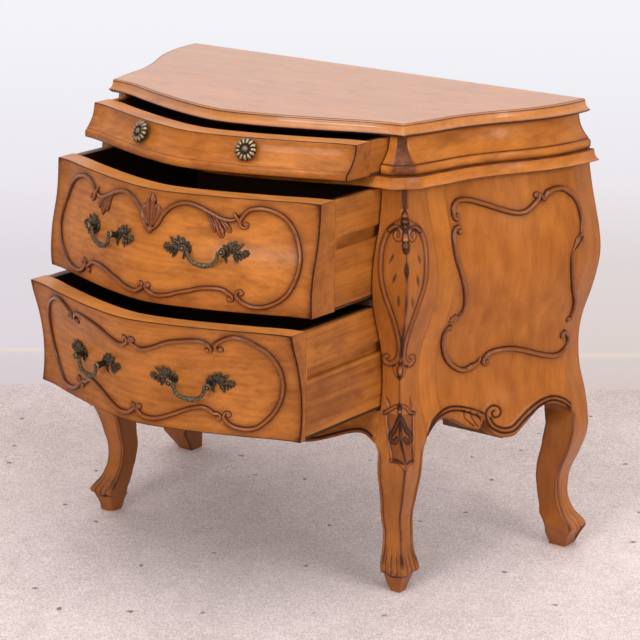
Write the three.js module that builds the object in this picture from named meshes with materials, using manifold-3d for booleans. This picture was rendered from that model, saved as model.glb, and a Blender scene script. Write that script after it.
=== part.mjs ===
// Bombe chest: a three-drawer commode in honey-coloured fruitwood, with swelling sides, a serpentine
// front, cabriole legs, carved scrolled mouldings and aged brass pulls. Millimetres, +Z up.
// The front looks along -Y. While it is built, y = 0 is the back edge of the top and z = 0 the floor.
import * as THREE from 'three';
import { mergeVertices } from 'three/addons/utils/BufferGeometryUtils.js';
import Module from 'manifold-3d';

const wasm = await Module();
wasm.setup();

// Driving dimensions of the case
const height = 820;
const backHalfWidth = 429;
const cornerHalfWidth = 313;
const cornerDepth = 378;
const cornerCant = 10;
const legCant = 4;
const bow = 86;
const sideSwell = 54;
const frontSwell = 45;
const topThickness = 23;
const topOverhang = 20;
const friezeHeight = 62;
const friezeSwell = 26;
const friezeThickness = 16;
const waistThickness = 20;
const waistReach = 44;
const stileWidth = 24;
const stileThickness = 26;
const postWidth = 45;
const kneeWidth = 50;
const panelThickness = 18;
const backThickness = 7;
const backInset = 4;
const boardThickness = 6;
const apronThickness = 20;
const glueLine = 0.3;

// Driving dimensions of the drawers
const reveal = 2;
const apronTopShare = 0.3878;
const middleDrawerShare = 0.5013;
const railThickness = 12;
const railDepth = 60;
const drawerGap = 4;
const frontThickness = 40;
const drawerSideThickness = 17;
const drawerBackThickness = 14;
const drawerBottomThickness = 5;
const drawerBackRoom = 13;
const grooveHeight = 21;
const grooveDepth = 8;
const runnerPlay = 0.4;
const runnerWidth = 22;
const grooveSetDown = 64;
const topRunnerThickness = 16;
const topDrawerOpening = 90;
const middleDrawerOpening = 166;
const bottomDrawerOpening = 224;

// Driving dimensions of the mouldings and the hardware
const frontMouldingShare = 0.0288;
const frontMouldingWidth = cornerHalfWidth * frontMouldingShare;
const sideMouldingShare = 0.0238;
const sideMouldingWidth = cornerDepth * sideMouldingShare;
const mouldingHeight = 5;
const scrollShare = 0.83;
const scrollHeight = 6.5;
const applyGap = 0.9;
const pullSpacing = 64;
const pullOffset = 106;
const pullStandOff = 17;
const plateThickness = 2.5;
const plateReach = 41;
const plateRise = 19;
const bossRadius = 6;
const bailRadius = 3.6;
const bailPinRadius = 2.2;
const bailDrop = 25;
const pinPlay = 0.5;
const pinDepth = 6;
const stubRadius = 2.5;
const stubLength = 8;
const knobRadius = 19;
const knobReach = 20;
const knobOffset = 111;

// Levels that follow from the driving dimensions
const topUnder = height - topThickness;
const waistTop = topUnder - friezeHeight;
const bodyTop = waistTop - waistThickness;
const apronTop = height * apronTopShare;
const drawerRoom = bodyTop - apronTop - railThickness - 4 * reveal;
const middleTop = bodyTop - reveal;
const middleDrawerHeight = drawerRoom * middleDrawerShare;
const middleBottom = middleTop - middleDrawerHeight;
const railTop = middleBottom - reveal;
const railBottom = railTop - railThickness;
const bottomTop = railBottom - reveal;
const bottomBottom = apronTop + reveal;
const bottomDrawerHeight = bottomTop - bottomBottom;
const openingHalfWidth = cornerHalfWidth - stileWidth;
const stileDepth = cornerDepth - stileThickness;
const topDrawerTop = topUnder - reveal;
const topDrawerBottom = waistTop + reveal;
const backFace = -backInset;
const backPanelFront = backFace - backThickness;
const drawerHalfWidth = openingHalfWidth - drawerGap;

// A smooth curve y(x) through a few points, flat beyond its ends
function curveThrough(points) {
  const last = points.length - 1;
  const slopes = points.map((point, i) => {
    const before = points[Math.max(i - 1, 0)];
    const after = points[Math.min(i + 1, last)];
    return (after[1] - before[1]) / (after[0] - before[0]);
  });
  return (x) => {
    if (x <= points[0][0]) return points[0][1];
    if (x >= points[last][0]) return points[last][1];
    const i = points.findIndex((point) => point[0] > x) - 1;
    const [x0, y0] = points[i];
    const [x1, y1] = points[i + 1];
    const step = x1 - x0;
    const t = (x - x0) / step;
    const s = 1 - t;
    return s * s * (1 + 2 * t) * y0 + t * t * (1 + 2 * s) * y1
      + step * t * s * (s * slopes[i] - t * slopes[i + 1]);
  };
}

// Plan of the case: the serpentine front and the ogee sides, as shares of their own sizes
const frontPlanShares = [[-0.1, 0.035], [0, 0], [0.1, 0.035], [0.17, 0.085], [0.34, 0.25], [0.5, 0.45],
  [0.655, 0.66], [0.8, 0.875], [0.917, 0.978], [1, 1]];
const sidePlanShares = [[0, 0], [0.16, 0.12], [0.28, 0.2], [0.38, 0.32], [0.48, 0.47], [0.57, 0.63],
  [0.67, 0.78], [0.78, 0.9], [0.9, 0.98], [1, 1]];
const frontPlan = curveThrough(frontPlanShares);
const sidePlan = curveThrough(sidePlanShares);

// Swell of the sides and the front over the height, down to the toes of the legs
const sideSwellShares = [[0, 0.46], [0.012, 0.55], [0.024, 0.65], [0.037, 0.77], [0.049, 0.87],
  [0.061, 0.76], [0.073, 0.48], [0.085, 0.31], [0.098, 0.19], [0.115, 0.11], [0.134, 0.11], [0.159, 0.15],
  [0.183, 0.28], [0.207, 0.45], [0.232, 0.61], [0.256, 0.74], [0.28, 0.8], [0.3, 0.79], [0.322, 0.74],
  [0.367, 0.59], [0.41, 0.39], [0.455, 0.31], [0.494, 0.32], [0.535, 0.44], [0.583, 0.69], [0.63, 0.89],
  [0.676, 1], [0.72, 0.94], [0.762, 0.8], [0.813, 0.61], [0.872, 0.44]];
const frontSwellShares = [[0, 0.56], [0.012, 0.6], [0.024, 0.66], [0.037, 0.74], [0.049, 0.82], [0.061, 0.74],
  [0.073, 0.61], [0.085, 0.5], [0.098, 0.42], [0.11, 0.35], [0.122, 0.31], [0.134, 0.31], [0.146, 0.33],
  [0.159, 0.35], [0.171, 0.39], [0.183, 0.43], [0.207, 0.51], [0.232, 0.63], [0.256, 0.77], [0.28, 0.82],
  [0.317, 0.71], [0.366, 0.44], [0.415, 0.26], [0.459, 0.22], [0.502, 0.29], [0.551, 0.5], [0.599, 0.8],
  [0.639, 0.96], [0.678, 1], [0.729, 0.89], [0.789, 0.61], [0.829, 0.51], [0.872, 0.46]];
const sideSwellCurve = curveThrough(sideSwellShares);
const frontSwellCurve = curveThrough(frontSwellShares);
const sideOut = (z) => sideSwell * sideSwellCurve(z / height);
const frontOut = (z) => frontSwell * frontSwellCurve(z / height);

// Frieze: a cavetto that ends in a bead, the same on the top drawer and on the case round it
const friezeShares = [[1, 0], [0.8, 0.06], [0.6, 0.22], [0.44, 0.48], [0.31, 0.76], [0.27, 0.8],
  [0.26, 0.93], [0.14, 1], [0, 0.92]];
const friezeCurve = curveThrough([...friezeShares].reverse());
const friezeOut = (z) => friezeSwell * friezeCurve((z - waistTop) / friezeHeight);

const frontLine = (x) => -cornerDepth - bow * (1 - frontPlan(Math.min(Math.abs(x) / cornerHalfWidth, 1)));
const sideLine = (y) => cornerHalfWidth
  + (backHalfWidth - cornerHalfWidth) * sidePlan((y + cornerDepth) / cornerDepth);
const bodyFront = (x, z) => new THREE.Vector3(x, frontLine(x) - frontOut(z), z);
const friezeFront = (x, z) => new THREE.Vector3(x, frontLine(x) - friezeOut(z), z);
const bodySide = (y, z) => new THREE.Vector3(sideLine(y) + sideOut(z), y, z);

// Turns a closed body the right way round: its faces point outwards
function outward(geometry) {
  const position = geometry.attributes.position;
  const index = geometry.index.array;
  const [a, b, c] = [new THREE.Vector3(), new THREE.Vector3(), new THREE.Vector3()];
  let volume = 0;
  for (let i = 0; i < index.length; i += 3) {
    a.fromBufferAttribute(position, index[i]);
    b.fromBufferAttribute(position, index[i + 1]);
    c.fromBufferAttribute(position, index[i + 2]);
    volume += a.dot(b.cross(c));
  }
  if (volume < 0) {
    for (let i = 0; i < index.length; i += 3) [index[i], index[i + 1]] = [index[i + 1], index[i]];
  }
  return geometry;
}

function bodyFrom(points, faces) {
  const geometry = new THREE.BufferGeometry().setFromPoints(points);
  geometry.setIndex(faces);
  return outward(geometry);
}

// Closed body through rings of equally many points; the outline gives the end caps their triangles
function loft(rings, outline) {
  const count = rings[0].length;
  const faces = [];
  for (let r = 0; r + 1 < rings.length; r++) {
    for (let i = 0; i < count; i++) {
      const a = r * count + i;
      const b = r * count + (i + 1) % count;
      faces.push(a, b, b + count, a, b + count, a + count);
    }
  }
  const end = (rings.length - 1) * count;
  const turn = THREE.ShapeUtils.isClockWise(outline) ? -1 : 1;
  const cap = THREE.ShapeUtils.triangulateShape(turn < 0 ? [...outline].reverse() : outline, []);
  const place = (i) => (turn < 0 ? count - 1 - i : i);
  for (const face of cap) {
    const [a, b, c] = face.map(place);
    if (turn < 0) {
      faces.push(a, b, c, end + a, end + c, end + b);
    } else {
      faces.push(a, c, b, end + a, end + b, end + c);
    }
  }
  return bodyFrom(rings.flat(), faces);
}

// Closed body between two grids of points that face each other, such as a curved board's two faces
function slab(outer, inner) {
  const columns = outer.length;
  const rows = outer[0].length;
  const points = [...outer.flat(), ...inner.flat()];
  const back = columns * rows;
  const at = (i, j, side) => side * back + i * rows + j;
  const faces = [];
  const quad = (a, b, c, d) => faces.push(a, b, c, a, c, d);
  for (let i = 0; i + 1 < columns; i++) {
    for (let j = 0; j + 1 < rows; j++) {
      quad(at(i, j, 0), at(i + 1, j, 0), at(i + 1, j + 1, 0), at(i, j + 1, 0));
      quad(at(i, j, 1), at(i, j + 1, 1), at(i + 1, j + 1, 1), at(i + 1, j, 1));
    }
    quad(at(i, 0, 0), at(i, 0, 1), at(i + 1, 0, 1), at(i + 1, 0, 0));
    quad(at(i, rows - 1, 0), at(i + 1, rows - 1, 0), at(i + 1, rows - 1, 1), at(i, rows - 1, 1));
  }
  for (let j = 0; j + 1 < rows; j++) {
    quad(at(0, j, 0), at(0, j + 1, 0), at(0, j + 1, 1), at(0, j, 1));
    quad(at(columns - 1, j, 0), at(columns - 1, j, 1), at(columns - 1, j + 1, 1),
      at(columns - 1, j + 1, 0));
  }
  return bodyFrom(points, faces);
}

// Sweep of a flat outline along frames that each have a place and two directions
function sweep(frames, outline) {
  const rings = frames.map(({ at, across, up }) => outline.map((p) => at.clone()
    .addScaledVector(across, p.x).addScaledVector(up, p.y)));
  return loft(rings, outline);
}

// Upright board with the outline given in plan, between two levels
function plate(outline, low, high) {
  const ring = (z) => outline.map((p) => new THREE.Vector3(p.x, p.y, z));
  return loft([ring(low), ring(high)], outline);
}

function block(x0, x1, y0, y1, z0, z1) {
  const corners = [[x0, y0], [x1, y0], [x1, y1], [x0, y1]];
  return plate(corners.map(([x, y]) => new THREE.Vector2(x, y)), z0, z1);
}

function mirrored(geometry) {
  return outward(geometry.clone().scale(-1, 1, 1));
}

function steps(from, to, count) {
  return Array.from({ length: count + 1 }, (_, i) => from + (to - from) * i / count);
}

// Booleans
function solid(geometry) {
  const plain = geometry.clone();
  plain.deleteAttribute('normal');
  plain.deleteAttribute('uv');
  const merged = mergeVertices(plain);
  return new wasm.Manifold(new wasm.Mesh({
    numProp: 3,
    vertProperties: new Float32Array(merged.attributes.position.array),
    triVerts: new Uint32Array(merged.index.array),
  }));
}

function fromSolid(body) {
  const mesh = body.getMesh();
  const geometry = new THREE.BufferGeometry();
  geometry.setAttribute('position', new THREE.BufferAttribute(new Float32Array(mesh.vertProperties), 3));
  geometry.setIndex(new THREE.BufferAttribute(new Uint32Array(mesh.triVerts), 1));
  return geometry;
}

function joined(geometries) {
  return fromSolid(geometries.map(solid).reduce((all, next) => all.add(next)));
}

function cut(geometry, tools) {
  return fromSolid(tools.map(solid).reduce((rest, tool) => rest.subtract(tool), solid(geometry)));
}

// Materials
const wood = (name, color, roughness) => new THREE.MeshStandardMaterial({ name, color, roughness });
const finishes = {
  top: wood('top_wood', 0xc58a5a, 0.38),
  case: wood('case_wood', 0xb8722f, 0.42),
  carving: wood('carved_wood', 0x9a5626, 0.45),
  front: wood('front_wood', 0xbb7734, 0.4),
  inside: wood('inside_wood', 0x7d5a35, 0.75),
  brass: new THREE.MeshStandardMaterial({
    name: 'aged_brass', color: 0x6b6148, roughness: 0.4, metalness: 0.9,
  }),
};

function piece(parent, name, geometry, finish) {
  geometry.computeVertexNormals();
  const mesh = new THREE.Mesh(geometry, finishes[finish].clone());
  mesh.name = name;
  parent.add(mesh);
  return mesh;
}

const chest = new THREE.Group();
const sides = [['right', 1], ['left', -1]];
const handed = (geometry, hand) => (hand < 0 ? mirrored(geometry) : geometry);

// Top: a solid board with an ogee edge that returns under a thin lip
const topEdgeShares = [[0, 1], [0.33, 0.96], [0.42, 0.72], [0.7, 0.5], [1, 0.3], [0.95, 0.1], [0.7, 0]];
const overhangShares = [[0, 0.5], [0.12, 0.8], [0.3, 0.92], [1, 1]];
const overhangCurve = curveThrough(overhangShares);
const frontSteps = steps(-1, 1, 18).map((share) => share * cornerHalfWidth);
const sideSteps = steps(-cornerDepth, 0, 13);

function topRing(out, z) {
  const reach = (fromCorner) => out * overhangCurve(fromCorner / cornerDepth);
  const front = frontSteps.slice(1, -1).map((x) => new THREE.Vector3(
    x, frontLine(x) - reach(cornerHalfWidth - Math.abs(x)), z));
  const corner = new THREE.Vector3(cornerHalfWidth + reach(0), -cornerDepth - reach(0), z);
  const right = sideSteps.slice(1).map((y) => new THREE.Vector3(
    sideLine(y) + reach(y + cornerDepth), y, z));
  const left = [...right, corner].map((p) => new THREE.Vector3(-p.x, p.y, z));
  return [...front, corner, ...right, ...left.slice(0, -1).reverse(), left.at(-1)];
}

const topRings = topEdgeShares.map(([out, level]) => topRing(
  out * topOverhang, topUnder + level * topThickness));
piece(chest, 'top_board', loft(topRings, topRings[0].map((p) => new THREE.Vector2(p.x, p.y))), 'top');

// Frames along the case's outline: out from the front, out from the canted corner, out from the side
const up = new THREE.Vector3(0, 0, 1);
const frontFrame = (x) => ({
  at: new THREE.Vector3(x, frontLine(x), 0), across: new THREE.Vector3(0, -1, 0), up,
});
const sideFrame = (y) => ({
  at: new THREE.Vector3(sideLine(y), y, 0), across: new THREE.Vector3(1, 0, 0), up,
});
const halfTurn = Math.tan(Math.PI / 8);
const cantFrontFrame = (hand) => ({
  at: new THREE.Vector3(hand * (cornerHalfWidth - cornerCant), -cornerDepth, 0),
  across: new THREE.Vector3(hand * halfTurn, -1, 0),
  up,
});
const cantSideFrame = {
  at: new THREE.Vector3(cornerHalfWidth, -cornerDepth + cornerCant, 0),
  across: new THREE.Vector3(1, -halfTurn, 0),
  up,
};
const mitreFrame = (hand, back) => ({
  at: new THREE.Vector3(
    hand * (cornerHalfWidth - cornerCant / 2 + back), -cornerDepth + cornerCant / 2 + back, 0),
  across: new THREE.Vector3(hand, -1, 0).multiplyScalar((1 + halfTurn) / 2),
  up,
});

// Frieze: on each side one length that turns the front corner and stops at the drawer opening
const friezeInside = -friezeThickness;
const friezeOutline = [
  ...friezeShares.map(([level, out]) => new THREE.Vector2(
    out * friezeSwell, waistTop + level * friezeHeight)),
  new THREE.Vector2(friezeInside, waistTop),
  new THREE.Vector2(friezeInside, topUnder),
];
const friezeFrames = [frontFrame(openingHalfWidth), cantFrontFrame(1), cantSideFrame,
  ...steps(-cornerDepth, backFace, 10).slice(1).map(sideFrame)];
for (const [side, hand] of sides) {
  piece(chest, `frieze_${side}`, handed(sweep(friezeFrames, friezeOutline), hand), 'case');
}

// Waist: a moulding in three lengths, mitred on the canted corners, that the frieze stands on
const waistShares = [[0.75, 1], [0.84, 0.65], [1, 0.22], [0.98, 0.05], [0.86, 0]];
const waistOutline = [
  ...waistShares.map(([out, level]) => new THREE.Vector2(
    out * waistReach, bodyTop + level * waistThickness)),
  new THREE.Vector2(friezeInside, bodyTop),
  new THREE.Vector2(friezeInside, waistTop),
];
const waistSideFrames = [mitreFrame(1, glueLine), cantSideFrame,
  ...steps(-cornerDepth, backFace, 10).slice(1).map(sideFrame)];
for (const [side, hand] of sides) {
  piece(chest, `waist_moulding_${side}`, handed(sweep(waistSideFrames, waistOutline), hand), 'case');
}
const waistFrontFrames = [mitreFrame(-1, 0), cantFrontFrame(-1), ...frontSteps.slice(1, -1).map(frontFrame),
  cantFrontFrame(1), mitreFrame(1, 0)];
piece(chest, 'waist_moulding_front', sweep(waistFrontFrames, waistOutline), 'case');

// Legs: each runs from the floor to the waist in one piece. Below the knee it is square in section
// and follows its outer corner; above, it fills out to the drawer opening and the side panel.
const legWidthShares = [[0, 0.52], [0.012, 0.6], [0.024, 0.7], [0.037, 0.85], [0.049, 0.97], [0.061, 0.94],
  [0.073, 0.865], [0.085, 0.8], [0.098, 0.765], [0.122, 0.745], [0.146, 0.78], [0.171, 0.82],
  [0.183, 0.845], [0.207, 0.91], [0.256, 1.03], [0.293, 1.04]];
const legFaceShares = [[0, 0.52], [0.012, 0.6], [0.024, 0.7], [0.037, 0.85], [0.049, 0.97], [0.061, 0.945],
  [0.073, 0.87], [0.085, 0.81], [0.098, 0.775], [0.122, 0.76], [0.146, 0.8], [0.171, 0.85],
  [0.183, 0.88], [0.207, 0.955], [0.232, 1.04], [0.256, 1.12], [0.293, 1.17], [0.32, 1.04]];
const backLegWidthShares = [[0, 0.68], [0.012, 0.78], [0.024, 0.9], [0.037, 1.02], [0.049, 1.1],
  [0.061, 1.08], [0.073, 0.98], [0.085, 0.88], [0.098, 0.82], [0.122, 0.815], [0.143, 0.855],
  [0.166, 0.905], [0.189, 0.985], [0.211, 1.045], [0.234, 1.085], [0.256, 1.14], [0.293, 1.12]];
const legOutShares = [[0, 0.52], [0.012, 0.55], [0.024, 0.61], [0.037, 0.7], [0.049, 0.8], [0.061, 0.72],
  [0.073, 0.61], [0.085, 0.52], [0.098, 0.46], [0.11, 0.41], [0.122, 0.39], [0.134, 0.37], [0.146, 0.36],
  [0.159, 0.37], [0.171, 0.4], [0.183, 0.45], [0.207, 0.53], [0.232, 0.63], [0.256, 0.74], [0.28, 0.8],
  [0.3, 0.79], [0.322, 0.74]];
const legWidthCurve = curveThrough(legWidthShares);
const legFaceCurve = curveThrough(legFaceShares);
const backLegWidthCurve = curveThrough(backLegWidthShares);
const legOutCurve = curveThrough(legOutShares);
const legWidth = (z) => kneeWidth * legWidthCurve(z / height);
const legFace = (z) => kneeWidth * legFaceCurve(z / height);
const backLegWidth = (z) => kneeWidth * backLegWidthCurve(z / height);
const legOut = (z) => sideSwell * legOutCurve(z / height);
const legLevelShares = [0, 0.012, 0.024, 0.037, 0.049, 0.061, 0.073, 0.085, 0.1, 0.12, 0.14, 0.16, 0.183,
  0.207, 0.232, 0.256, 0.286, 0.305, 0.32, 0.335, 0.36, 0.39, 0.43, 0.47, 0.51, 0.545, 0.58, 0.615, 0.65,
  0.68, 0.715, 0.75, 0.79, 0.83];
const legLevels = [...legLevelShares.map((share) => share * height), bodyTop];
const frontKneeShares = [0.295, 0.335];
const backKneeShares = [0.286, 0.32];
const kneeBlend = (z, shares) => THREE.MathUtils.smoothstep(z / height, ...shares);
const postInside = backHalfWidth - postWidth / 2;

function frontLegRing(z) {
  const blend = kneeBlend(z, frontKneeShares);
  const cornerX = cornerHalfWidth + THREE.MathUtils.lerp(legOut(z), frontOut(z), blend);
  const cornerY = -cornerDepth - frontOut(z);
  const width = legWidth(z);
  const cant = THREE.MathUtils.lerp(legCant, cornerCant, blend);
  const innerX = THREE.MathUtils.lerp(cornerX - legFace(z), openingHalfWidth, blend);
  const innerY = THREE.MathUtils.lerp(cornerY + width, -stileDepth, blend);
  const endX = THREE.MathUtils.lerp(cornerX, sideLine(innerY) + sideOut(z), blend);
  const frontY = THREE.MathUtils.lerp(cornerY, frontLine(innerX) - frontOut(z), blend);
  return [[innerX, frontY], [cornerX - cant, cornerY], [cornerX, cornerY + cant], [endX, innerY],
    [innerX, innerY]].map(([x, y]) => new THREE.Vector3(x, y, z));
}

function backLegRing(z) {
  const blend = kneeBlend(z, backKneeShares);
  const outerX = backHalfWidth + sideOut(z);
  const width = backLegWidth(z);
  const innerX = THREE.MathUtils.lerp(outerX - width, postInside, blend);
  const innerY = THREE.MathUtils.lerp(backFace - width, backFace - postWidth, blend);
  const shift = blend * (sideLine(innerY) - backHalfWidth);
  return [[outerX + shift, innerY], [outerX, backFace], [innerX, backFace], [innerX, innerY]]
    .map(([x, y]) => new THREE.Vector3(x, y, z));
}

for (const [name, ringAt] of [['front', frontLegRing], ['back', backLegRing]]) {
  const rings = legLevels.map(ringAt);
  const leg = loft(rings, rings[0].map((p) => new THREE.Vector2(p.x, p.y)));
  for (const [side, hand] of sides) piece(chest, `${name}_leg_${side}`, handed(leg.clone(), hand), 'case');
}

// Side panels: one swelling board on each side, whose lower edge is cut as the scrolled apron
const sideApronShares = [[0, 0.345], [0.05, 0.357], [0.13, 0.366], [0.24, 0.366], [0.31, 0.352],
  [0.365, 0.325], [0.41, 0.34], [0.45, 0.305], [0.51, 0.29], [0.56, 0.29], [0.62, 0.306], [0.7, 0.332],
  [0.78, 0.348], [0.86, 0.348], [0.93, 0.34], [1, 0.322]];
const sideApronCurve = curveThrough(sideApronShares);
const panelFront = -stileDepth + glueLine;
const panelBack = backFace - postWidth - glueLine;
const panelColumns = steps(panelFront, panelBack, 14);
const panelRows = steps(0, 1, 18);

function panelFace(thickness) {
  return panelColumns.map((y) => {
    const low = height * sideApronCurve((y - panelFront) / (panelBack - panelFront));
    return panelRows.map((share) => {
      const point = bodySide(y, THREE.MathUtils.lerp(low, bodyTop, share));
      point.x -= thickness;
      return point;
    });
  });
}

const sidePanel = slab(panelFace(0), panelFace(panelThickness));
for (const [side, hand] of sides) piece(chest, `side_panel_${side}`, handed(sidePanel.clone(), hand), 'case');

// Front apron: the serpentine rail under the bottom drawer, scrolled along its lower edge
const apronHalfWidth = openingHalfWidth - glueLine;
const frontApronShares = [[0, 0.306], [0.12, 0.309], [0.24, 0.312], [0.35, 0.311], [0.46, 0.309],
  [0.54, 0.308], [0.65, 0.313], [0.76, 0.326], [0.84, 0.336], [0.92, 0.338], [1, 0.322]];
const frontApronCurve = curveThrough(frontApronShares);
const apronColumns = steps(-apronHalfWidth, apronHalfWidth, 28);

function apronFace(thickness) {
  return apronColumns.map((x) => {
    const low = height * frontApronCurve(Math.abs(x) / apronHalfWidth);
    return steps(low, apronTop, 3).map((z) => {
      const point = bodyFront(x, z);
      point.y = thickness > 0 ? bodyFront(x, apronTop).y + thickness : point.y;
      return point;
    });
  });
}

piece(chest, 'front_apron', slab(apronFace(0), apronFace(apronThickness)), 'case');

// Back panel: a thin board between the back posts, with two brackets hanging from its lower edge
const backHalf = postInside - glueLine;
const bracketLow = 168;
const bracketHigh = 290;
const bracketInside = 165;
const bracketOutside = 295;
const bracketSlope = 30;
const bracketShape = [[bracketOutside + bracketSlope, bracketHigh], [bracketOutside, bracketLow],
  [bracketInside, bracketLow], [bracketInside - bracketSlope, bracketHigh]];
const backOutline = [[-backHalf, bracketHigh], ...bracketShape.map(([x, z]) => [-x, z]),
  ...bracketShape.toReversed(), [backHalf, bracketHigh], [backHalf, topUnder], [-backHalf, topUnder]]
  .map(([x, z]) => new THREE.Vector2(x, z));
const backRing = (y) => backOutline.map((p) => new THREE.Vector3(p.x, y, p.y));
piece(chest, 'back_panel', loft([backRing(backPanelFront), backRing(backFace)], backOutline), 'inside');

// Bottom board: closes the case under the bottom drawer and reaches the apron, the sides and the back
const boardTop = apronTop - boardThickness;
const boardSide = panelColumns.map((y) => {
  return new THREE.Vector2(bodySide(y, boardTop).x - panelThickness - reveal / 2, y);
}).slice(1);
const boardFront = apronColumns.slice(1, -1).map((x) => new THREE.Vector2(
  x, bodyFront(x, apronTop).y + apronThickness + glueLine));
const boardCorner = new THREE.Vector2(apronHalfWidth - glueLine, -stileDepth + glueLine);
const boardRight = [boardCorner, ...boardSide, new THREE.Vector2(backHalf, panelBack),
  new THREE.Vector2(backHalf, backPanelFront - glueLine)];
const boardLeft = boardRight.map((p) => new THREE.Vector2(-p.x, p.y)).reverse();
piece(chest, 'bottom_board', plate([...boardFront, ...boardRight, ...boardLeft],
  boardTop - boardThickness, boardTop), 'inside');

// Rail between the middle and the bottom drawer
const railSteps = steps(-openingHalfWidth + glueLine, openingHalfWidth - glueLine, 18);
const railFront = railSteps.map((x) => new THREE.Vector2(x, bodyFront(x, railTop).y + reveal));
const railBack = -cornerDepth - frontSwell + railDepth + panelThickness;
const railOutline = [...railFront, new THREE.Vector2(railSteps.at(-1), railBack),
  new THREE.Vector2(railSteps[0], railBack)];
piece(chest, 'drawer_rail', plate(railOutline, railBottom, railTop), 'inside');

// Runners: the top drawer slides on two flat boards, the others hang on strips in their side grooves
const runnerFront = -stileDepth + glueLine;
const runnerBack = backPanelFront - glueLine;
for (const [side, hand] of sides) {
  const flat = block(drawerHalfWidth - drawerSideThickness - runnerWidth, openingHalfWidth + drawerGap,
    -cornerDepth - friezeInside + glueLine, runnerBack, waistTop - topRunnerThickness, waistTop);
  piece(chest, `top_runner_${side}`, handed(flat, hand), 'inside');
}
const grooveLevel = (drawerTop) => drawerTop - grooveSetDown;
for (const [name, drawerTop] of [['middle', middleTop], ['bottom', bottomTop]]) {
  const high = grooveLevel(drawerTop) - runnerPlay;
  const low = high - grooveHeight + 2 * runnerPlay;
  for (const [side, hand] of sides) {
    const strip = block(drawerHalfWidth - grooveDepth + runnerPlay, drawerHalfWidth + runnerWidth,
      runnerFront, runnerBack, low, high);
    piece(chest, `${name}_runner_${side}`, handed(strip, hand), 'inside');
  }
}

// A place on a curved face, moved out along the face's own normal
function onFace(face, u, v, out) {
  const nudge = 1;
  const alongU = face(u + nudge, v).sub(face(u - nudge, v));
  const alongV = face(u, v + nudge).sub(face(u, v - nudge));
  const normal = alongU.cross(alongV).normalize();
  return { at: face(u, v).addScaledVector(normal, out), normal };
}

// A strand of carved moulding: a half-round strip that follows a drawn line on a curved face
const strandShares = [[-0.5, 0], [0.5, 0], [0.3, 1], [-0.3, 1]];
const strandPitch = 18;

function strand(face, points, width) {
  const outline = strandShares.map(([x, y]) => new THREE.Vector2(x * width, y * mouldingHeight));
  const line = new THREE.SplineCurve(points.map(([u, v]) => new THREE.Vector2(u, v)));
  const count = Math.max(3, Math.round(line.getLength() / strandPitch));
  const places = line.getSpacedPoints(count).map((p) => onFace(face, p.x, p.y, applyGap));
  const frames = places.map(({ at, normal }, i) => {
    const before = places[Math.max(i - 1, 0)].at;
    const after = places[Math.min(i + 1, count)].at;
    const along = after.clone().sub(before).normalize();
    return { at, across: along.cross(normal).normalize(), up: normal };
  });
  return sweep(frames, outline);
}

// A scroll eye: the small raised button that a strand curls into
function scroll(face, [u, v], width) {
  const { at, normal } = onFace(face, u, v, applyGap);
  const scrollRadius = width * scrollShare;
  const button = new THREE.CylinderGeometry(scrollRadius / 2, scrollRadius, scrollHeight, 8);
  button.translate(0, scrollHeight / 2, 0);
  button.applyQuaternion(new THREE.Quaternion().setFromUnitVectors(new THREE.Vector3(0, 1, 0), normal));
  return button.translate(at.x, at.y, at.z);
}

// Drawn lines of the cartouches on the two large drawers: across from the middle as a share of the
// drawer's half width, up from its lower edge as a share of its height. The last pair is the eye.
const middleStrandShares = [
  [[0, 0.64], [0.04, 0.66], [0.08, 0.73], [0.12, 0.8], [0.17, 0.88], [0.22, 0.91], [0.28, 0.91], [0.34, 0.89],
    [0.41, 0.83], [0.48, 0.8], [0.55, 0.79]],
  [[0.58, 0.77], [0.56, 0.83], [0.6, 0.9], [0.67, 0.93], [0.74, 0.91], [0.81, 0.85], [0.87, 0.74],
    [0.905, 0.6], [0.915, 0.47], [0.905, 0.35], [0.88, 0.25], [0.83, 0.16], [0.77, 0.1], [0.7, 0.07],
    [0.64, 0.08], [0.58, 0.11], [0.555, 0.17]],
  [[0.535, 0.13], [0.5, 0.18], [0.45, 0.21], [0.38, 0.2], [0.31, 0.17], [0.24, 0.13], [0.17, 0.1],
    [0.11, 0.09], [0.06, 0.1], [0.022, 0.14]],
];
const bottomStrandShares = [
  [[0.022, 0.83], [0.03, 0.76], [0.08, 0.72], [0.14, 0.72], [0.21, 0.77], [0.28, 0.83], [0.36, 0.86],
    [0.43, 0.88], [0.48, 0.86], [0.51, 0.8]],
  [[0.55, 0.8], [0.56, 0.86], [0.6, 0.92], [0.67, 0.95], [0.74, 0.92], [0.81, 0.85], [0.86, 0.76],
    [0.89, 0.66], [0.9, 0.54], [0.89, 0.42], [0.86, 0.31], [0.8, 0.2], [0.74, 0.12], [0.68, 0.08],
    [0.62, 0.08], [0.57, 0.12], [0.545, 0.17]],
  [[0.515, 0.14], [0.48, 0.19], [0.42, 0.23], [0.36, 0.21], [0.29, 0.16], [0.22, 0.1], [0.16, 0.08],
    [0.11, 0.08], [0.06, 0.12], [0.022, 0.17]],
];

function drawerCartouche(strandShares, low, tall) {
  const lines = strandShares.map((line) => line.map(([u, v]) => [u * drawerHalfWidth, low + v * tall]));
  const bodies = [];
  for (const [, hand] of sides) {
    for (const line of lines) {
      bodies.push(strand(bodyFront, line.map(([x, z]) => [hand * x, z]), frontMouldingWidth));
      bodies.push(...[line[0], line.at(-1)].filter(([x]) => x > 0)
        .map(([x, z]) => scroll(bodyFront, [hand * x, z], frontMouldingWidth)));
    }
  }
  return joined(bodies);
}

// Brass pull: two leaf plates, each with a boss that a bail is pivoted in
const leafShares = [[-0.15, -0.45], [-0.1, 0.35], [0.05, 0.95], [0.25, 0.7], [0.4, 1], [0.5, 0.6],
  [0.75, 0.55], [1, 0.1], [0.85, -0.2], [0.6, -0.15], [0.45, -0.6], [0.2, -0.35], [0.05, -0.7]];

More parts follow.
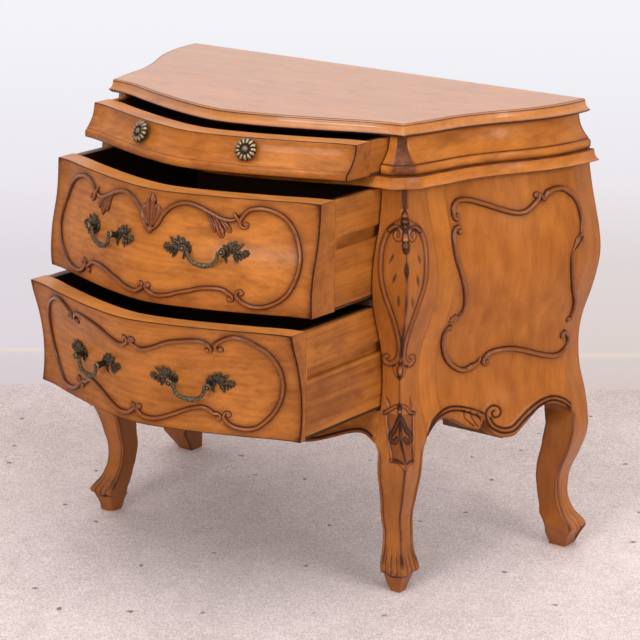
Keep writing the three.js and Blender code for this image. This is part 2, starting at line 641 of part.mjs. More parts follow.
function leafPlate(face, pivot, hand) {
  const outline = leafShares.map(([u, v]) => new THREE.Vector2(
    pivot.u + hand * (pullSpacing / 2 + u * plateReach), pivot.v + v * plateRise));
  const ring = (out) => outline.map((p) => onFace(face, p.x, p.y, out).at);
  const leaf = loft([ring(applyGap), ring(applyGap + plateThickness)], outline);
  const { at, normal } = onFace(face, pivot.u + hand * pullSpacing / 2, pivot.v, 0);
  const turn = new THREE.Quaternion().setFromUnitVectors(new THREE.Vector3(0, 1, 0), normal);
  const shaft = (radius, from, to, corners) => new THREE.CylinderGeometry(radius, radius, to - from, corners)
    .translate(0, (from + to) / 2, 0).applyQuaternion(turn).translate(at.x, at.y, at.z);
  const boss = shaft(bossRadius, applyGap + plateThickness / 2, pullStandOff + bossRadius, 10);
  const stub = shaft(stubRadius, -stubLength, applyGap + plateThickness / 2, 8);
  const hole = pinAlong(pivot, bailPinRadius + pinPlay, pinDepth);
  return cut(joined([leaf, boss, stub]), [hole]);
}

// A straight pin through both bosses, as wide as their spacing and a little into each
function pinAlong(pivot, radius, into) {
  const reach = pullSpacing / 2 - bossRadius + into;
  return new THREE.CylinderGeometry(radius, radius, 2 * reach, 8).rotateZ(Math.PI / 2)
    .rotateZ(pivot.turn).translate(pivot.at.x, pivot.at.y, pivot.at.z);
}

const bailShares = [[1, 0.07], [1, 0.4], [0.8, 0.85], [0.4, 1]];

function bailGeometry() {
  const half = pullSpacing / 2 - bossRadius;
  const tip = half + pinDepth - pinPlay;
  const neck = half - bailRadius;
  const line = [[tip, 0], [half - pinPlay, 0],
    ...bailShares.map(([across, drop]) => [across * neck, -drop * bailDrop])];
  const whole = [...line, [0, -bailDrop - bailRadius / 4], ...line.map(([x, z]) => [-x, z]).reverse()];
  const outward3 = new THREE.Vector3(0, -1, 0);
  const rings = whole.map(([x, z], i) => {
    const [ax, az] = whole[Math.max(i - 1, 0)];
    const [bx, bz] = whole[Math.min(i + 1, whole.length - 1)];
    const across = new THREE.Vector3(bx - ax, 0, bz - az).normalize().cross(outward3);
    const radius = i < 2 || i > whole.length - 3 ? bailPinRadius : bailRadius;
    return steps(0, 2 * Math.PI, 8).slice(0, -1).map((angle) => new THREE.Vector3(x, 0, z)
      .addScaledVector(across, radius * Math.cos(angle)).addScaledVector(outward3, radius * Math.sin(angle)));
  });
  const circle = steps(0, 2 * Math.PI, 8).slice(0, -1)
    .map((angle) => new THREE.Vector2(Math.cos(angle), Math.sin(angle)));
  return loft(rings, circle);
}

// Where a pull sits on a drawer's face: its pivot line is level and follows the face in plan
function pullPivot(face, u, v) {
  const left = onFace(face, u - pullSpacing / 2, v, pullStandOff).at;
  const right = onFace(face, u + pullSpacing / 2, v, pullStandOff).at;
  const along = right.clone().sub(left);
  return { u, v, at: left.clone().add(right).multiplyScalar(0.5), turn: Math.atan2(along.y, along.x) };
}

// A drawer: a thick shaped front, two sides, a back and a bottom nailed up under them
function drawer(spec) {
  const { name, face, low, high, sideLow, opening, groove, stubs } = spec;
  const group = new THREE.Group();
  group.position.y = -opening;
  const columns = steps(-drawerHalfWidth, drawerHalfWidth, 26);
  const insideLine = (x) => face(x, high).y + frontThickness;
  const outer = columns.map((x) => spec.rows.map((z) => face(x, z)));
  const inner = columns.map((x) => spec.rows.map((z) => new THREE.Vector3(x, insideLine(x), z)));
  const holes = stubs.map(({ u, v }) => {
    const { at, normal } = onFace(face, u, v, 0);
    const turn = new THREE.Quaternion().setFromUnitVectors(new THREE.Vector3(0, 1, 0), normal);
    const long = 2 * (stubLength + pinPlay);
    return new THREE.CylinderGeometry(stubRadius + pinPlay, stubRadius + pinPlay, long, 8)
      .applyQuaternion(turn).translate(at.x, at.y, at.z);
  });
  piece(group, `${name}_drawer_front`, cut(slab(outer, inner), holes), 'front');

  const insideHalf = drawerHalfWidth - drawerSideThickness;
  const end = backPanelFront - drawerBackRoom;
  const sideHigh = high - reveal;
  const panelLow = sideLow - drawerBottomThickness;
  const sideOutline = [[drawerHalfWidth, insideLine(drawerHalfWidth) + glueLine], [drawerHalfWidth, end],
    [insideHalf, end], [insideHalf, insideLine(insideHalf) + glueLine]]
    .map(([x, y]) => new THREE.Vector2(x, y));
  let board = plate(sideOutline, sideLow, sideHigh);
  if (groove) {
    const top = grooveLevel(high);
    board = cut(board, [block(drawerHalfWidth - grooveDepth, drawerHalfWidth + grooveDepth,
      insideLine(drawerHalfWidth) + drawerGap, end + grooveDepth, top - grooveHeight, top)]);
  }
  for (const [side, hand] of sides) {
    piece(group, `${name}_drawer_side_${side}`, handed(board.clone(), hand), 'inside');
  }
  piece(group, `${name}_drawer_back`, block(-insideHalf + glueLine, insideHalf - glueLine,
    end - drawerBackThickness, end, sideLow, sideHigh - grooveDepth), 'inside');
  const rim = columns.map((x) => new THREE.Vector2(x, insideLine(x) + glueLine));
  piece(group, `${name}_drawer_bottom`, plate([...rim, new THREE.Vector2(drawerHalfWidth, end),
    new THREE.Vector2(-drawerHalfWidth, end)], panelLow, sideLow), 'inside');
  chest.add(group);
  return group;
}

function largeDrawer(name, low, high, opening, strandShares, pullLevel) {
  const pivots = sides.map(([side, hand]) => [side, pullPivot(bodyFront, hand * pullOffset, pullLevel)]);
  const stubs = pivots.flatMap(([, { u, v }]) => [-1, 1].map((end) => ({ u: u + end * pullSpacing / 2, v })));
  const group = drawer({ name, face: bodyFront, low, high, rows: steps(low, high, 7),
    sideLow: low + drawerBottomThickness + reveal, opening, groove: true, stubs });
  piece(group, `${name}_drawer_cartouche`, drawerCartouche(strandShares, low, high - low), 'carving');
  for (const [side, pivot] of pivots) {
    for (const [end, hand] of sides) {
      piece(group, `${name}_pull_${side}_plate_${end}`, leafPlate(bodyFront, pivot, hand), 'brass');
    }
    const bail = piece(group, `${name}_bail_${side}`, bailGeometry(), 'brass');
    bail.position.copy(pivot.at);
    bail.rotation.z = pivot.turn;
  }
}

const middlePullShare = 0.52;
const bottomPullShare = 0.47;
largeDrawer('middle', middleBottom, middleTop, middleDrawerOpening, middleStrandShares,
  middleBottom + middlePullShare * middleDrawerHeight);
largeDrawer('bottom', bottomBottom, bottomTop, bottomDrawerOpening, bottomStrandShares,
  bottomBottom + bottomPullShare * bottomDrawerHeight);

// Top drawer: shallow, its front is the frieze's cavetto and bead, with two knobs
const knobShare = 0.61;
const knobLevel = waistTop + knobShare * friezeHeight;
const knobPlaces = sides.map(([side, hand]) => ({ side, u: hand * knobOffset, v: knobLevel }));
const friezeRows = [topDrawerBottom, ...friezeShares.map(([level]) => waistTop + level * friezeHeight)
  .filter((z) => z > topDrawerBottom && z < topDrawerTop).reverse(), topDrawerTop];
const topGroup = drawer({ name: 'top', face: friezeFront, low: topDrawerBottom, high: topDrawerTop,
  rows: friezeRows, sideLow: waistTop + drawerBottomThickness + glueLine, opening: topDrawerOpening,
  groove: false, stubs: knobPlaces });
const knobShares = [[0, -0.1], [0.25, -0.1], [0.25, 0.35], [0.8, 0.5], [1, 0.62], [0.96, 0.78], [0.5, 0.92],
  [0.28, 1], [0, 1]];
for (const { side, u, v } of knobPlaces) {
  const { at, normal } = onFace(friezeFront, u, v, knobReach * -knobShares[0][1] + applyGap);
  const profile = knobShares.map(([r, h]) => new THREE.Vector2(r * knobRadius, h * knobReach));
  const head = new THREE.LatheGeometry(profile, 12);
  const stub = new THREE.CylinderGeometry(stubRadius, stubRadius, stubLength, 8)
    .translate(0, -stubLength / 2, 0);
  const knob = joined([head, stub])
    .applyQuaternion(new THREE.Quaternion().setFromUnitVectors(new THREE.Vector3(0, 1, 0), normal));
  piece(topGroup, `knob_${side}`, knob.translate(at.x, at.y, at.z), 'brass');
}

// Cartouches on the side panels, drawn as shares of the panel's depth and of the body's height
const sideStrandShares = [
  [[0.16, 0.764], [0.19, 0.774], [0.17, 0.8], [0.2, 0.812], [0.28, 0.81], [0.4, 0.795], [0.5, 0.788],
    [0.6, 0.795], [0.68, 0.812], [0.71, 0.822]],
  [[0.74, 0.815], [0.8, 0.826], [0.87, 0.826], [0.94, 0.805], [0.97, 0.77], [0.98, 0.74], [0.95, 0.722]],
  [[0.95, 0.722], [0.9, 0.695], [0.89, 0.655], [0.93, 0.61], [0.975, 0.575], [0.99, 0.54], [0.96, 0.515]],
  [[0.96, 0.515], [0.98, 0.485], [0.93, 0.46], [0.85, 0.457], [0.7, 0.474], [0.58, 0.487], [0.5, 0.48],
    [0.46, 0.462]],
  [[0.46, 0.462], [0.38, 0.45], [0.28, 0.458], [0.18, 0.49], [0.14, 0.535], [0.15, 0.57], [0.19, 0.58]],
  [[0.19, 0.58], [0.23, 0.61], [0.22, 0.65], [0.16, 0.69], [0.12, 0.73], [0.13, 0.76], [0.16, 0.764]],
];
const sideLines = sideStrandShares.map((line) => line.map(([u, v]) => [
  THREE.MathUtils.lerp(panelFront, panelBack, u), v * height]));
const sideCartouche = joined(sideLines.flatMap((line) => [strand(bodySide, line, sideMouldingWidth),
  scroll(bodySide, line[0], sideMouldingWidth), scroll(bodySide, line.at(-1), sideMouldingWidth)]));
for (const [side, hand] of sides) {
  piece(chest, `side_cartouche_${side}`, handed(sideCartouche.clone(), hand), 'carving');
}

// The origin lies on the floor, under the middle of the whole chest with its drawers as they stand
const box = new THREE.Box3().setFromObject(chest);
chest.position.y = -(box.min.y + box.max.y) / 2;

export default chest;
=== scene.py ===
# Bombe chest of drawers in honey-coloured fruitwood, with carved scrolled mouldings and aged brass
# pulls. Lengths are millimetres from the floor and from the back edge of the top, as the joiner would
# measure them, and become metres in the model's own frame when a mesh is made.
import math

import bmesh
import bpy
import numpy as np
from mathutils import Matrix, Vector


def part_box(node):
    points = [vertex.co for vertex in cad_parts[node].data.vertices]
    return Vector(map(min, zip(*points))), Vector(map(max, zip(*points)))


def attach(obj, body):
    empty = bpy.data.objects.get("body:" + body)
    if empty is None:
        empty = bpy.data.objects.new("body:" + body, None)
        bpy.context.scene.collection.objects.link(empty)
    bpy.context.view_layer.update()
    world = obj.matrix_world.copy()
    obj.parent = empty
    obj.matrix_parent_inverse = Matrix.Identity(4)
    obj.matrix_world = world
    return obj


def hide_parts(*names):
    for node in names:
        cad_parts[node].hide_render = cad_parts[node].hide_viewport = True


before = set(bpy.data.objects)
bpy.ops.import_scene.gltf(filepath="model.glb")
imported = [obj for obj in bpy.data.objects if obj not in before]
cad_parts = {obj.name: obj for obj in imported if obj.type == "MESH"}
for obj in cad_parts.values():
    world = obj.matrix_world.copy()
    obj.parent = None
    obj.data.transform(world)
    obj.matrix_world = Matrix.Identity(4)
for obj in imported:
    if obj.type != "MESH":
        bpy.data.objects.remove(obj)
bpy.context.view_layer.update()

# Top board: one board in plan like the case, glued up from planks that run along the chest, stained
# honey and waxed to a soft shine. Its edge steps in under the rim and spreads in a hollow to a thin
# arris, and dark glaze lies in the quirks.
height = 820
top_thickness = 23
top_under = height - top_thickness
top_overhang = 20
corner_ease = 2.2
corner_half = 313
corner_depth = 378
back_half = 429
bow = 86
back_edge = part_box("top_board")[1].y


def smooth_curve(points):
    """A smooth curve through a few points, flat beyond its ends."""
    xs, ys = np.array(points, float).T
    last = len(xs) - 1
    before = np.maximum(np.arange(last + 1) - 1, 0)
    after = np.minimum(np.arange(last + 1) + 1, last)
    slopes = (ys[after] - ys[before]) / (xs[after] - xs[before])

    def at(x):
        x = np.clip(x, xs[0], xs[-1])
        i = np.clip(np.searchsorted(xs, x, side="right") - 1, 0, last - 1)
        step = xs[i + 1] - xs[i]
        t = (x - xs[i]) / step
        s = 1 - t
        return (s * s * (1 + 2 * t) * ys[i] + t * t * (1 + 2 * s) * ys[i + 1]
                + step * t * s * (s * slopes[i] - t * slopes[i + 1]))

    return at


front_plan = smooth_curve([(-0.1, 0.035), (0, 0), (0.1, 0.035), (0.17, 0.085), (0.34, 0.25), (0.5, 0.45),
                           (0.655, 0.66), (0.8, 0.875), (0.917, 0.978), (1, 1)])
side_plan = smooth_curve([(0, 0), (0.16, 0.12), (0.28, 0.2), (0.38, 0.32), (0.48, 0.47), (0.57, 0.63),
                          (0.67, 0.78), (0.78, 0.9), (0.9, 0.98), (1, 1)])
overhang_curve = smooth_curve([(0, 0.5), (0.12, 0.8), (0.3, 0.92), (1, 1)])


def front_line(x):
    return -corner_depth - bow * (1 - front_plan(np.minimum(np.abs(x) / corner_half, 1)))


def side_line(y):
    return corner_half + (back_half - corner_half) * side_plan((y + corner_depth) / corner_depth)


class Wire:
    """A socket in a node tree; sums and products of wires add the Math nodes that work them out."""

    def __init__(self, tree, socket=None):
        self.tree = tree
        self.socket = socket

    def make(self, kind, settings=None, inputs=None, output=0):
        node = self.tree.nodes.new(kind)
        for key, value in (settings or {}).items():
            if key == "stops":
                while len(node.color_ramp.elements) < len(value):
                    node.color_ramp.elements.new(1)
                for element, (place, tint) in zip(node.color_ramp.elements, value):
                    element.position = place
                    element.color = tint
            else:
                setattr(node, key, value)
        for key, value in (inputs or {}).items():
            if isinstance(value, Wire):
                self.tree.links.new(value.socket, node.inputs[key])
            else:
                node.inputs[key].default_value = value
        if isinstance(output, tuple):
            return [Wire(self.tree, node.outputs[i]) for i in output]
        return Wire(self.tree, node.outputs[output])

    def math(self, operation, *values):
        return self.make("ShaderNodeMath", {"operation": operation}, dict(enumerate(values)))

    def __add__(self, other):
        return self.math("ADD", self, other)

    def __sub__(self, other):
        return self.math("SUBTRACT", self, other)

    def __rsub__(self, other):
        return self.math("SUBTRACT", other, self)

    def __mul__(self, other):
        return self.math("MULTIPLY", self, other)

    def __truediv__(self, other):
        return self.math("DIVIDE", self, other)

    __radd__ = __add__
    __rmul__ = __mul__

    def held(self):
        """The value kept between 0 and 1."""
        return self.make("ShaderNodeClamp", None, {0: self})

    def rise(self, low, high):
        """0 below low, 1 above high, smooth between."""
        return self.make("ShaderNodeMapRange", {"interpolation_type": "SMOOTHSTEP"},
                         {0: self, 1: low, 2: high})

    def tint(self, first, second):
        """First colour where this value is 0, second where it is 1."""
        return self.make("ShaderNodeMix", {"data_type": "RGBA"}, {0: self, 6: first, 7: second}, output=2)

    def vector(self, x, y, z):
        return self.make("ShaderNodeCombineXYZ", None, {0: x, 1: y, 2: z})

    def noise(self, x, y, z, detail=2.0, roughness=0.5):
        return self.make("ShaderNodeTexNoise", None, {
            "Vector": self.vector(x, y, z), "Scale": 1.0, "Detail": detail, "Roughness": roughness})

    def bump(self, strength, distance, height):
        return self.make("ShaderNodeBump", None, {
            "Strength": strength, "Distance": distance, "Height": height})

    def glaze(self):
        """The surface's own value: glaze and painted shade above 0, wear below it."""
        return self.make("ShaderNodeAttribute", {"attribute_name": "glaze"}, output=2)


def start_material(name):
    """A new material, its empty tree, and its Object coordinates in millimetres."""
    material = bpy.data.materials.new(name)
    material.use_nodes = True
    material.node_tree.nodes.clear()
    wire = Wire(material.node_tree)
    place = wire.make("ShaderNodeTexCoord", output=3)
    xyz = wire.make("ShaderNodeSeparateXYZ", None, {0: place}, output=(0, 1, 2))
    return material, wire, [axis * 1000 for axis in xyz]


def end_material(wire, color, roughness, normal, coat=0.0, metallic=0.0, shine=0.5):
    shader = wire.make("ShaderNodeBsdfPrincipled", None, {
        "Base Color": color, "Roughness": roughness, "Normal": normal, "Metallic": metallic,
        "Coat Weight": coat, "Coat Roughness": 0.13, "Specular IOR Level": shine})
    wire.make("ShaderNodeOutputMaterial", None, {0: shader}, output=())


shade_and_glaze_brown = (0.17, 0.044, 0.0095, 1)
shade_and_glaze_umber = (0.038, 0.0105, 0.0035, 1)
worn_honey = (0.72, 0.33, 0.105, 1)


def wood_finish(name, light, dark, axes="xzy", board=88, tilt=0.07, contrast=1.0, roughness=0.4,
                coat=0.2, shine=0.18, seed=1):
    """Stained and waxed fruitwood. The axes name the grain's way, the way across a plank, and the way into
    it; a vertex value darkens the surface where it is above 0, for glaze in the carving and for painted
    shade in creases, under overhangs and beside raised carving, and wears it where it is below."""
    material, wire, xyz = start_material(name)
    along, across, depth = [xyz["xyz".index(axis)] for axis in axes]
    plank = (across / board + 0.37 + seed).math("FLOOR", across / board + 0.37 + seed)
    chance = wire.make("ShaderNodeTexWhiteNoise", {"noise_dimensions": "1D"}, {"W": plank + 7.3 * seed})
    other = wire.make("ShaderNodeTexWhiteNoise", {"noise_dimensions": "1D"}, {"W": plank + 31.7})
    run = along + other * 900
    wobble = wire.noise(run / 190, across / 60, depth / 60, 2.0)
    streaks = wire.noise(run / 520, across / 19, depth / 19 + chance * 7, 4.0, 0.6)
    fibres = wire.noise(run / 42, across / 0.9, depth / 0.9, 3.0, 0.6)
    lines = wire.noise(run / 170, across / 4.2, depth / 4.2, 3.0, 0.65)
    mottle = wire.noise(along / 75, across / 55, depth / 55, 3.0, 0.55)
    offset = across - (plank + 0.13 - seed + chance * 0.3) * board
    reach = wire.vector(offset + wobble * 26, depth * 0.3 + run * tilt + 60 + wobble * 18, 0.0)
    rings = wire.make("ShaderNodeVectorMath", {"operation": "LENGTH"}, {0: reach}, output=1)
    rings = wire.math("SINE", rings * (math.pi / 5.5))
    flecks = wire.noise(run / 11, across / 0.75, depth / 0.75, 1.0).rise(0.63, 0.74)
    value = ((streaks - 0.5) * (1.6 * contrast) + (fibres - 0.5) * (0.5 * contrast)
             + (lines - 0.5) * (0.9 * contrast)
             + rings * (0.1 * contrast) + (mottle - 0.5) * (1.2 * contrast)
             + (chance - 0.5) * (0.42 * contrast) + 0.52)
    color = value.held().tint(dark, light)
    smudge = wire.noise(along / 64, across / 30, depth / 30 + 4.7, 3.0, 0.6).rise(0.5, 0.76)
    color = (smudge * (0.42 * contrast)).tint(color, shade_and_glaze_brown)
    color = (flecks * 0.22).tint(color, shade_and_glaze_umber)
    cells = wire.make("ShaderNodeTexVoronoi", {"voronoi_dimensions": "3D"}, {
        "Vector": wire.vector(along, across, depth), "Scale": 1 / 31}, output=(0, 1))
    pick = wire.make("ShaderNodeSeparateXYZ", None, {0: cells[1]})
    specks = (1 - cells[0].rise(0.012, 0.05)) * pick.rise(0.74, 0.76)
    color = (specks * 0.6).tint(color, shade_and_glaze_umber)
    glaze = wire.glaze()
    patch = wire.noise(along / 24, across / 9, depth / 9, 3.0, 0.6)
    # Above 0 the vertex value tints the wood towards the dark browns: glaze in the carving, and painted
    # shade where the meshes put it.
    stain_and_shade = (glaze * (0.62 + patch * 0.76)).held()
    color = (stain_and_shade * 1.5).held().tint(color, shade_and_glaze_brown)
    color = stain_and_shade.rise(0.38, 0.98).tint(color, shade_and_glaze_umber)
    color = ((0 - glaze) * (0.5 + patch)).held().tint(color, worn_honey)
    level = fibres * 0.5 + flecks * -0.6 + patch * 0.5 + specks * -0.8
    normal = wire.bump(0.22, 0.0004, level)
    rough = (mottle - 0.5) * 0.16 + stain_and_shade * 0.12 + flecks * 0.08 + roughness
    end_material(wire, color, rough, normal, (1 - stain_and_shade * 0.75) * coat, 0.0, shine)
    return material


top_finish = wood_finish("top_wood", (0.62, 0.235, 0.05, 1), (0.43, 0.145, 0.03, 1), "xyz", 96, 0.05,
                         0.7, 0.36, 0.55, 0.5, seed=2)


def link_data(name, data):
    piece = bpy.data.objects.new(name, data)
    bpy.context.scene.collection.objects.link(piece)
    return piece


def link_mesh(mesh, finish):
    mesh.materials.clear()
    mesh.materials.append(finish)
    return link_data(mesh.name, mesh)


def settle(mesh, finish, body, slot, *nodes):
    """Shows a mesh on its body in the place of the named solids."""
    piece = link_mesh(mesh, finish)
    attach(piece, body)
    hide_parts(*nodes)


def glazed_mesh(name, points, faces, glaze):
    mesh = bpy.data.meshes.new(name)
    mesh.from_pydata(points, [], faces)
    layer = mesh.attributes.new("glaze", "FLOAT", "POINT")
    layer.data.foreach_set("value", np.asarray(glaze, np.float32).ravel())
    return mesh


def solid_mesh(name, points, faces, glaze, crease, trims=()):
    """A closed mesh whose faces point outwards, smooth except at its arrises. A trim sets a group of
    faces back from their own edge, and gives what is inside the edge a glaze of its own, one towards
    the room and one towards the wall."""
    places = np.asarray(points, float).reshape(-1, 3) / 1000 + (0, back_edge, 0)
    mesh = glazed_mesh(name, places, faces, glaze)
    shell = bmesh.new()
    shell.from_mesh(mesh)
    bmesh.ops.recalc_face_normals(shell, faces=shell.faces)
    shell.faces.ensure_lookup_table()
    value = shell.verts.layers.float.get("glaze")
    groups = [[shell.faces[i] for i in ids] for ids, *_ in trims]
    for group, (_, width, near_glaze, far_glaze) in zip(groups, trims):
        bmesh.ops.inset_region(shell, faces=group, thickness=width / 1000, use_even_offset=True)
        for face in group:
            middle = face.calc_center_median().y
            for vertex in face.verts:
                vertex[value] = near_glaze if vertex.co.y < middle else far_glaze
    shell.to_mesh(mesh)
    shell.free()
    mesh.shade_smooth()
    mesh.set_sharp_from_angle(angle=math.radians(crease))
    return mesh


def rings_faces(rows, columns):
    """Faces of a skin through closed rings, with a cap at each end."""
    i, j = np.meshgrid(np.arange(rows - 1), np.arange(columns), indexing="ij")
    a = i * columns + j
    b = i * columns + (j + 1) % columns
    end = (rows - 1) * columns
    faces = np.stack([a, b, b + columns, a + columns], -1).reshape(-1, 4).tolist()
    return faces + [list(range(columns - 1, -1, -1)), list(range(end, end + columns))]


def mirrored(points, hand):
    return np.asarray(points, float) * (hand, 1, 1)


sides = (("right", 1), ("left", -1))

# The rows that round under the lower arris and cross the underside are glazed near black: painted shade
# under the overhang.
top_edge = ((0.1, 1, 0), (0.26, 1, 0.45), (0.31, 0.985, 0.9), (0.345, 0.975, 0.6), (0.38, 0.98, 0.1),
            (0.43, 0.955, -0.1), (0.455, 0.915, 0), (0.445, 0.885, 0.75), (0.45, 0.86, 0.85),
            (0.475, 0.82, 0.25), (0.485, 0.75, -0.1), (0.5, 0.67, 0), (0.54, 0.57, 0), (0.6, 0.48, 0),
            (0.68, 0.4, 0), (0.78, 0.33, 0.05), (0.89, 0.275, 0.15), (0.97, 0.24, 0.4), (1, 0.205, 0.75),
            (0.98, 0.165, 0.95), (0.9, 0.12, 1), (0.75, 0.04, 0.8), (0.65, 0, 0.7))


def top_ring(out, level):
    """The board's outline at one level of its thickness, so far out from the case."""
    reach = lambda away: out * overhang_curve(away / corner_depth)
    x = np.linspace(-corner_half, corner_half, 121)[1:-1]
    front = np.stack([x, front_line(x) - reach(corner_half - np.abs(x))], -1)
    y = np.linspace(-corner_depth, 0, 61)[1:]
    right = np.stack([side_line(y) + reach(y + corner_depth), y], -1)
    corner = np.array([corner_half + reach(0), -corner_depth - reach(0)])
    turn = corner + corner_ease * np.array([(-1, 0), (-0.3, 0.3), (0, 1)])
    half = np.concatenate([turn, right])
    ring = np.concatenate([front, half, (half * (-1, 1))[::-1]])
    return np.column_stack([ring, np.full(len(ring), top_under + level * top_thickness)])


top_rings = [top_ring(out * top_overhang, level) for out, level, _ in top_edge]
top_columns = len(top_rings[0])
top_glaze = np.repeat([glaze for _, _, glaze in top_edge], top_columns)
mesh = solid_mesh("top_board_carved", np.concatenate(top_rings),
                  rings_faces(len(top_rings), top_columns), top_glaze, 50)
settle(mesh, top_finish, "case", "top_wood", "top_board")

# Frieze: the cavetto and bead under the top, one length on each side that turns the canted front
# corner and stops at the drawer opening. The same profile runs across the top drawer's front.
frieze_height = 62
frieze_swell = 26
frieze_thickness = 16
waist_top = top_under - frieze_height
stile_width = 24
opening_half = corner_half - stile_width
corner_cant = 10
cant_x = corner_half - corner_cant
cant_y = corner_cant - corner_depth
back_face = -4
half_turn = math.tan(math.pi / 8)
frieze_profile = ((1, 0, 0.55), (0.97, 0.003, 0.2), (0.9, 0.02, 0), (0.8, 0.06, 0), (0.7, 0.125, 0),
                  (0.6, 0.22, 0), (0.52, 0.34, 0), (0.44, 0.48, 0), (0.37, 0.62, 0), (0.315, 0.76, 0.1),
                  (0.285, 0.8, 0.45), (0.272, 0.79, 0.7), (0.265, 0.86, 0.6), (0.25, 0.93, 0.25),
                  (0.22, 0.975, 0), (0.17, 1, -0.1), (0.1, 1, 0), (0.04, 0.97, 0.15), (0.01, 0.93, 0.5),
                  (0, 0.9, 0.9))
frieze_out = smooth_curve([(level, out) for level, out, _ in frieze_profile[::-1]])
rail_finish = wood_finish("rail_wood", (0.64, 0.215, 0.03, 1), (0.37, 0.108, 0.015, 1), "yzx", 120, 0.04,
                          0.9, 0.34, 0.2, 0.2, seed=5)


def moulding(name, hand, frames, profile, low, tall, reach, joints):
    """A moulding: its profile set out from each frame's place along its way. Each joint holds the
    glaze of one frame between two values."""
    outline = [(out * reach, low + level * tall, glaze) for level, out, glaze in profile]
    # The back face, towards the inside of the case, is glazed darker: painted shade.
    outline += [(-frieze_thickness, low, 0.5), (-frieze_thickness, low + tall, 0.5)]
    points = [(x + out * dx, y + out * dy, z) for x, y, dx, dy in frames for out, z, _ in outline]
    glaze = np.array([[depth for _, _, depth in outline]] * len(frames))
    for place, least, most in joints:
        glaze[place] = np.clip(glaze[place], least, most)
    return solid_mesh(name, mirrored(points, hand), rings_faces(*glaze.shape), glaze, 40)


def front_frames(places):
    """Places along the front of the case, each with its way out."""
    return [(x, front_line(x), 0, -1) for x in places]


def side_frames(first, count):
    places = np.linspace(-corner_depth, back_face, count)[2:]
    return [(side_line(y), y, 1, 0) for y in (first, *places)]


cant_front = (cant_x, -corner_depth, half_turn, -1)
cant_side = (corner_half, cant_y, 1, -half_turn)
frieze_frames = front_frames(np.linspace(opening_half, cant_x - 0.9, 5)) + [cant_front, cant_side]
frieze_frames += side_frames(cant_y + 0.9, 60)
for side, hand in sides:
    mesh = moulding(f"frieze_{side}_carved", hand, frieze_frames, frieze_profile, waist_top,
                    frieze_height, frieze_swell, ((5, 0.62, 1), (6, 0.62, 1), (-1, 0.6, 0.6)))
    settle(mesh, rail_finish, "case", "case_wood", f"frieze_{side}")

# Waist: a hollow moulding in three lengths, mitred on the canted corners and glued round the case.
# It spreads downwards to a thin lip with a dark edge.
waist_thickness = 20
waist_reach = 44
body_top = waist_top - waist_thickness
waist_profile = ((1, 0.73, 0.7), (0.97, 0.76, 0.8), (0.93, 0.765, 0.3), (0.85, 0.77, 0.05),
                 (0.7, 0.785, 0), (0.52, 0.81, -0.05), (0.36, 0.85, -0.1), (0.24, 0.9, -0.12),
                 (0.15, 0.96, -0.1), (0.1, 1, 0.15), (0.04, 0.99, 0.85), (0.01, 0.94, 0.9),
                 (0, 0.86, 0.8))


def mitre(hand, back):
    """The frame at the middle of a canted corner, where two lengths meet."""
    mid = corner_half - corner_cant / 2 + back
    return (hand * mid, -corner_depth + corner_cant / 2 + back, hand * (1 + half_turn) / 2,
            -(1 + half_turn) / 2)


glue_line = 0.3
waist_side = [mitre(1, glue_line), cant_side] + side_frames(cant_y + 1.5, 48)
waist_front = [mitre(-1, 0), (-cant_x, -corner_depth, -half_turn, -1)]
waist_front += front_frames(np.linspace(1.5 - cant_x, cant_x - 1.5, 120)) + [cant_front, mitre(1, 0)]
for name, hand, frames, ends in (("right", 1, waist_side, (0, 1)), ("left", -1, waist_side, (0, 1)),
                                 ("front", 1, waist_front, (0, 1, -2, -1))):
    mesh = moulding(f"waist_{name}_carved", hand, frames, waist_profile, body_top, waist_thickness,
                    waist_reach, [(end, 0.3, 1) for end in ends])
    settle(mesh, rail_finish, "case", "case_wood", f"waist_moulding_{name}")

# Front legs: each is one post from the floor to the waist. The cabriole has a beaded edge and a
# fluted toe; the post carries a carved teardrop on its front corner, with a smaller leaf on the knee.
side_swell = 54
front_swell = 45
stile_depth = 352
knee_width = 50
pad_radius = 24
leg_finish = wood_finish("leg_wood", (0.5, 0.165, 0.03, 1), (0.29, 0.085, 0.012, 1), "zyx", 400, 0.03,
                         0.7, 0.36, 0.2, 0.2, seed=7)
toe_levels = (0, 0.012, 0.024, 0.037, 0.049, 0.061, 0.073, 0.085, 0.098)


def leg_curve(toe_values, others):
    """A curve over shares of the height: values at the toe's levels, then pairs from there up."""
    return smooth_curve([*zip(toe_levels, toe_values), *others])


side_out_curve = leg_curve((0.46, 0.55, 0.65, 0.77, 0.87, 0.76, 0.48, 0.31, 0.19), (
    (0.115, 0.11), (0.134, 0.11), (0.159, 0.15), (0.183, 0.28), (0.207, 0.45), (0.232, 0.61),
    (0.256, 0.74), (0.28, 0.8), (0.3, 0.79), (0.322, 0.74), (0.367, 0.59), (0.41, 0.39), (0.455, 0.31),
    (0.494, 0.32), (0.535, 0.44), (0.583, 0.69), (0.63, 0.89), (0.676, 1), (0.72, 0.94), (0.762, 0.8),
    (0.813, 0.61), (0.872, 0.44)))
front_out_curve = leg_curve((0.56, 0.6, 0.66, 0.74, 0.82, 0.74, 0.61, 0.5, 0.42), (
    (0.11, 0.35), (0.122, 0.31), (0.134, 0.31), (0.146, 0.33), (0.159, 0.35), (0.171, 0.39),
    (0.183, 0.43), (0.207, 0.51), (0.232, 0.63), (0.256, 0.77), (0.28, 0.82), (0.317, 0.71),
    (0.366, 0.44), (0.415, 0.26), (0.459, 0.22), (0.502, 0.29), (0.551, 0.5), (0.599, 0.8),
    (0.639, 0.96), (0.678, 1), (0.729, 0.89), (0.789, 0.61), (0.829, 0.51), (0.872, 0.46)))
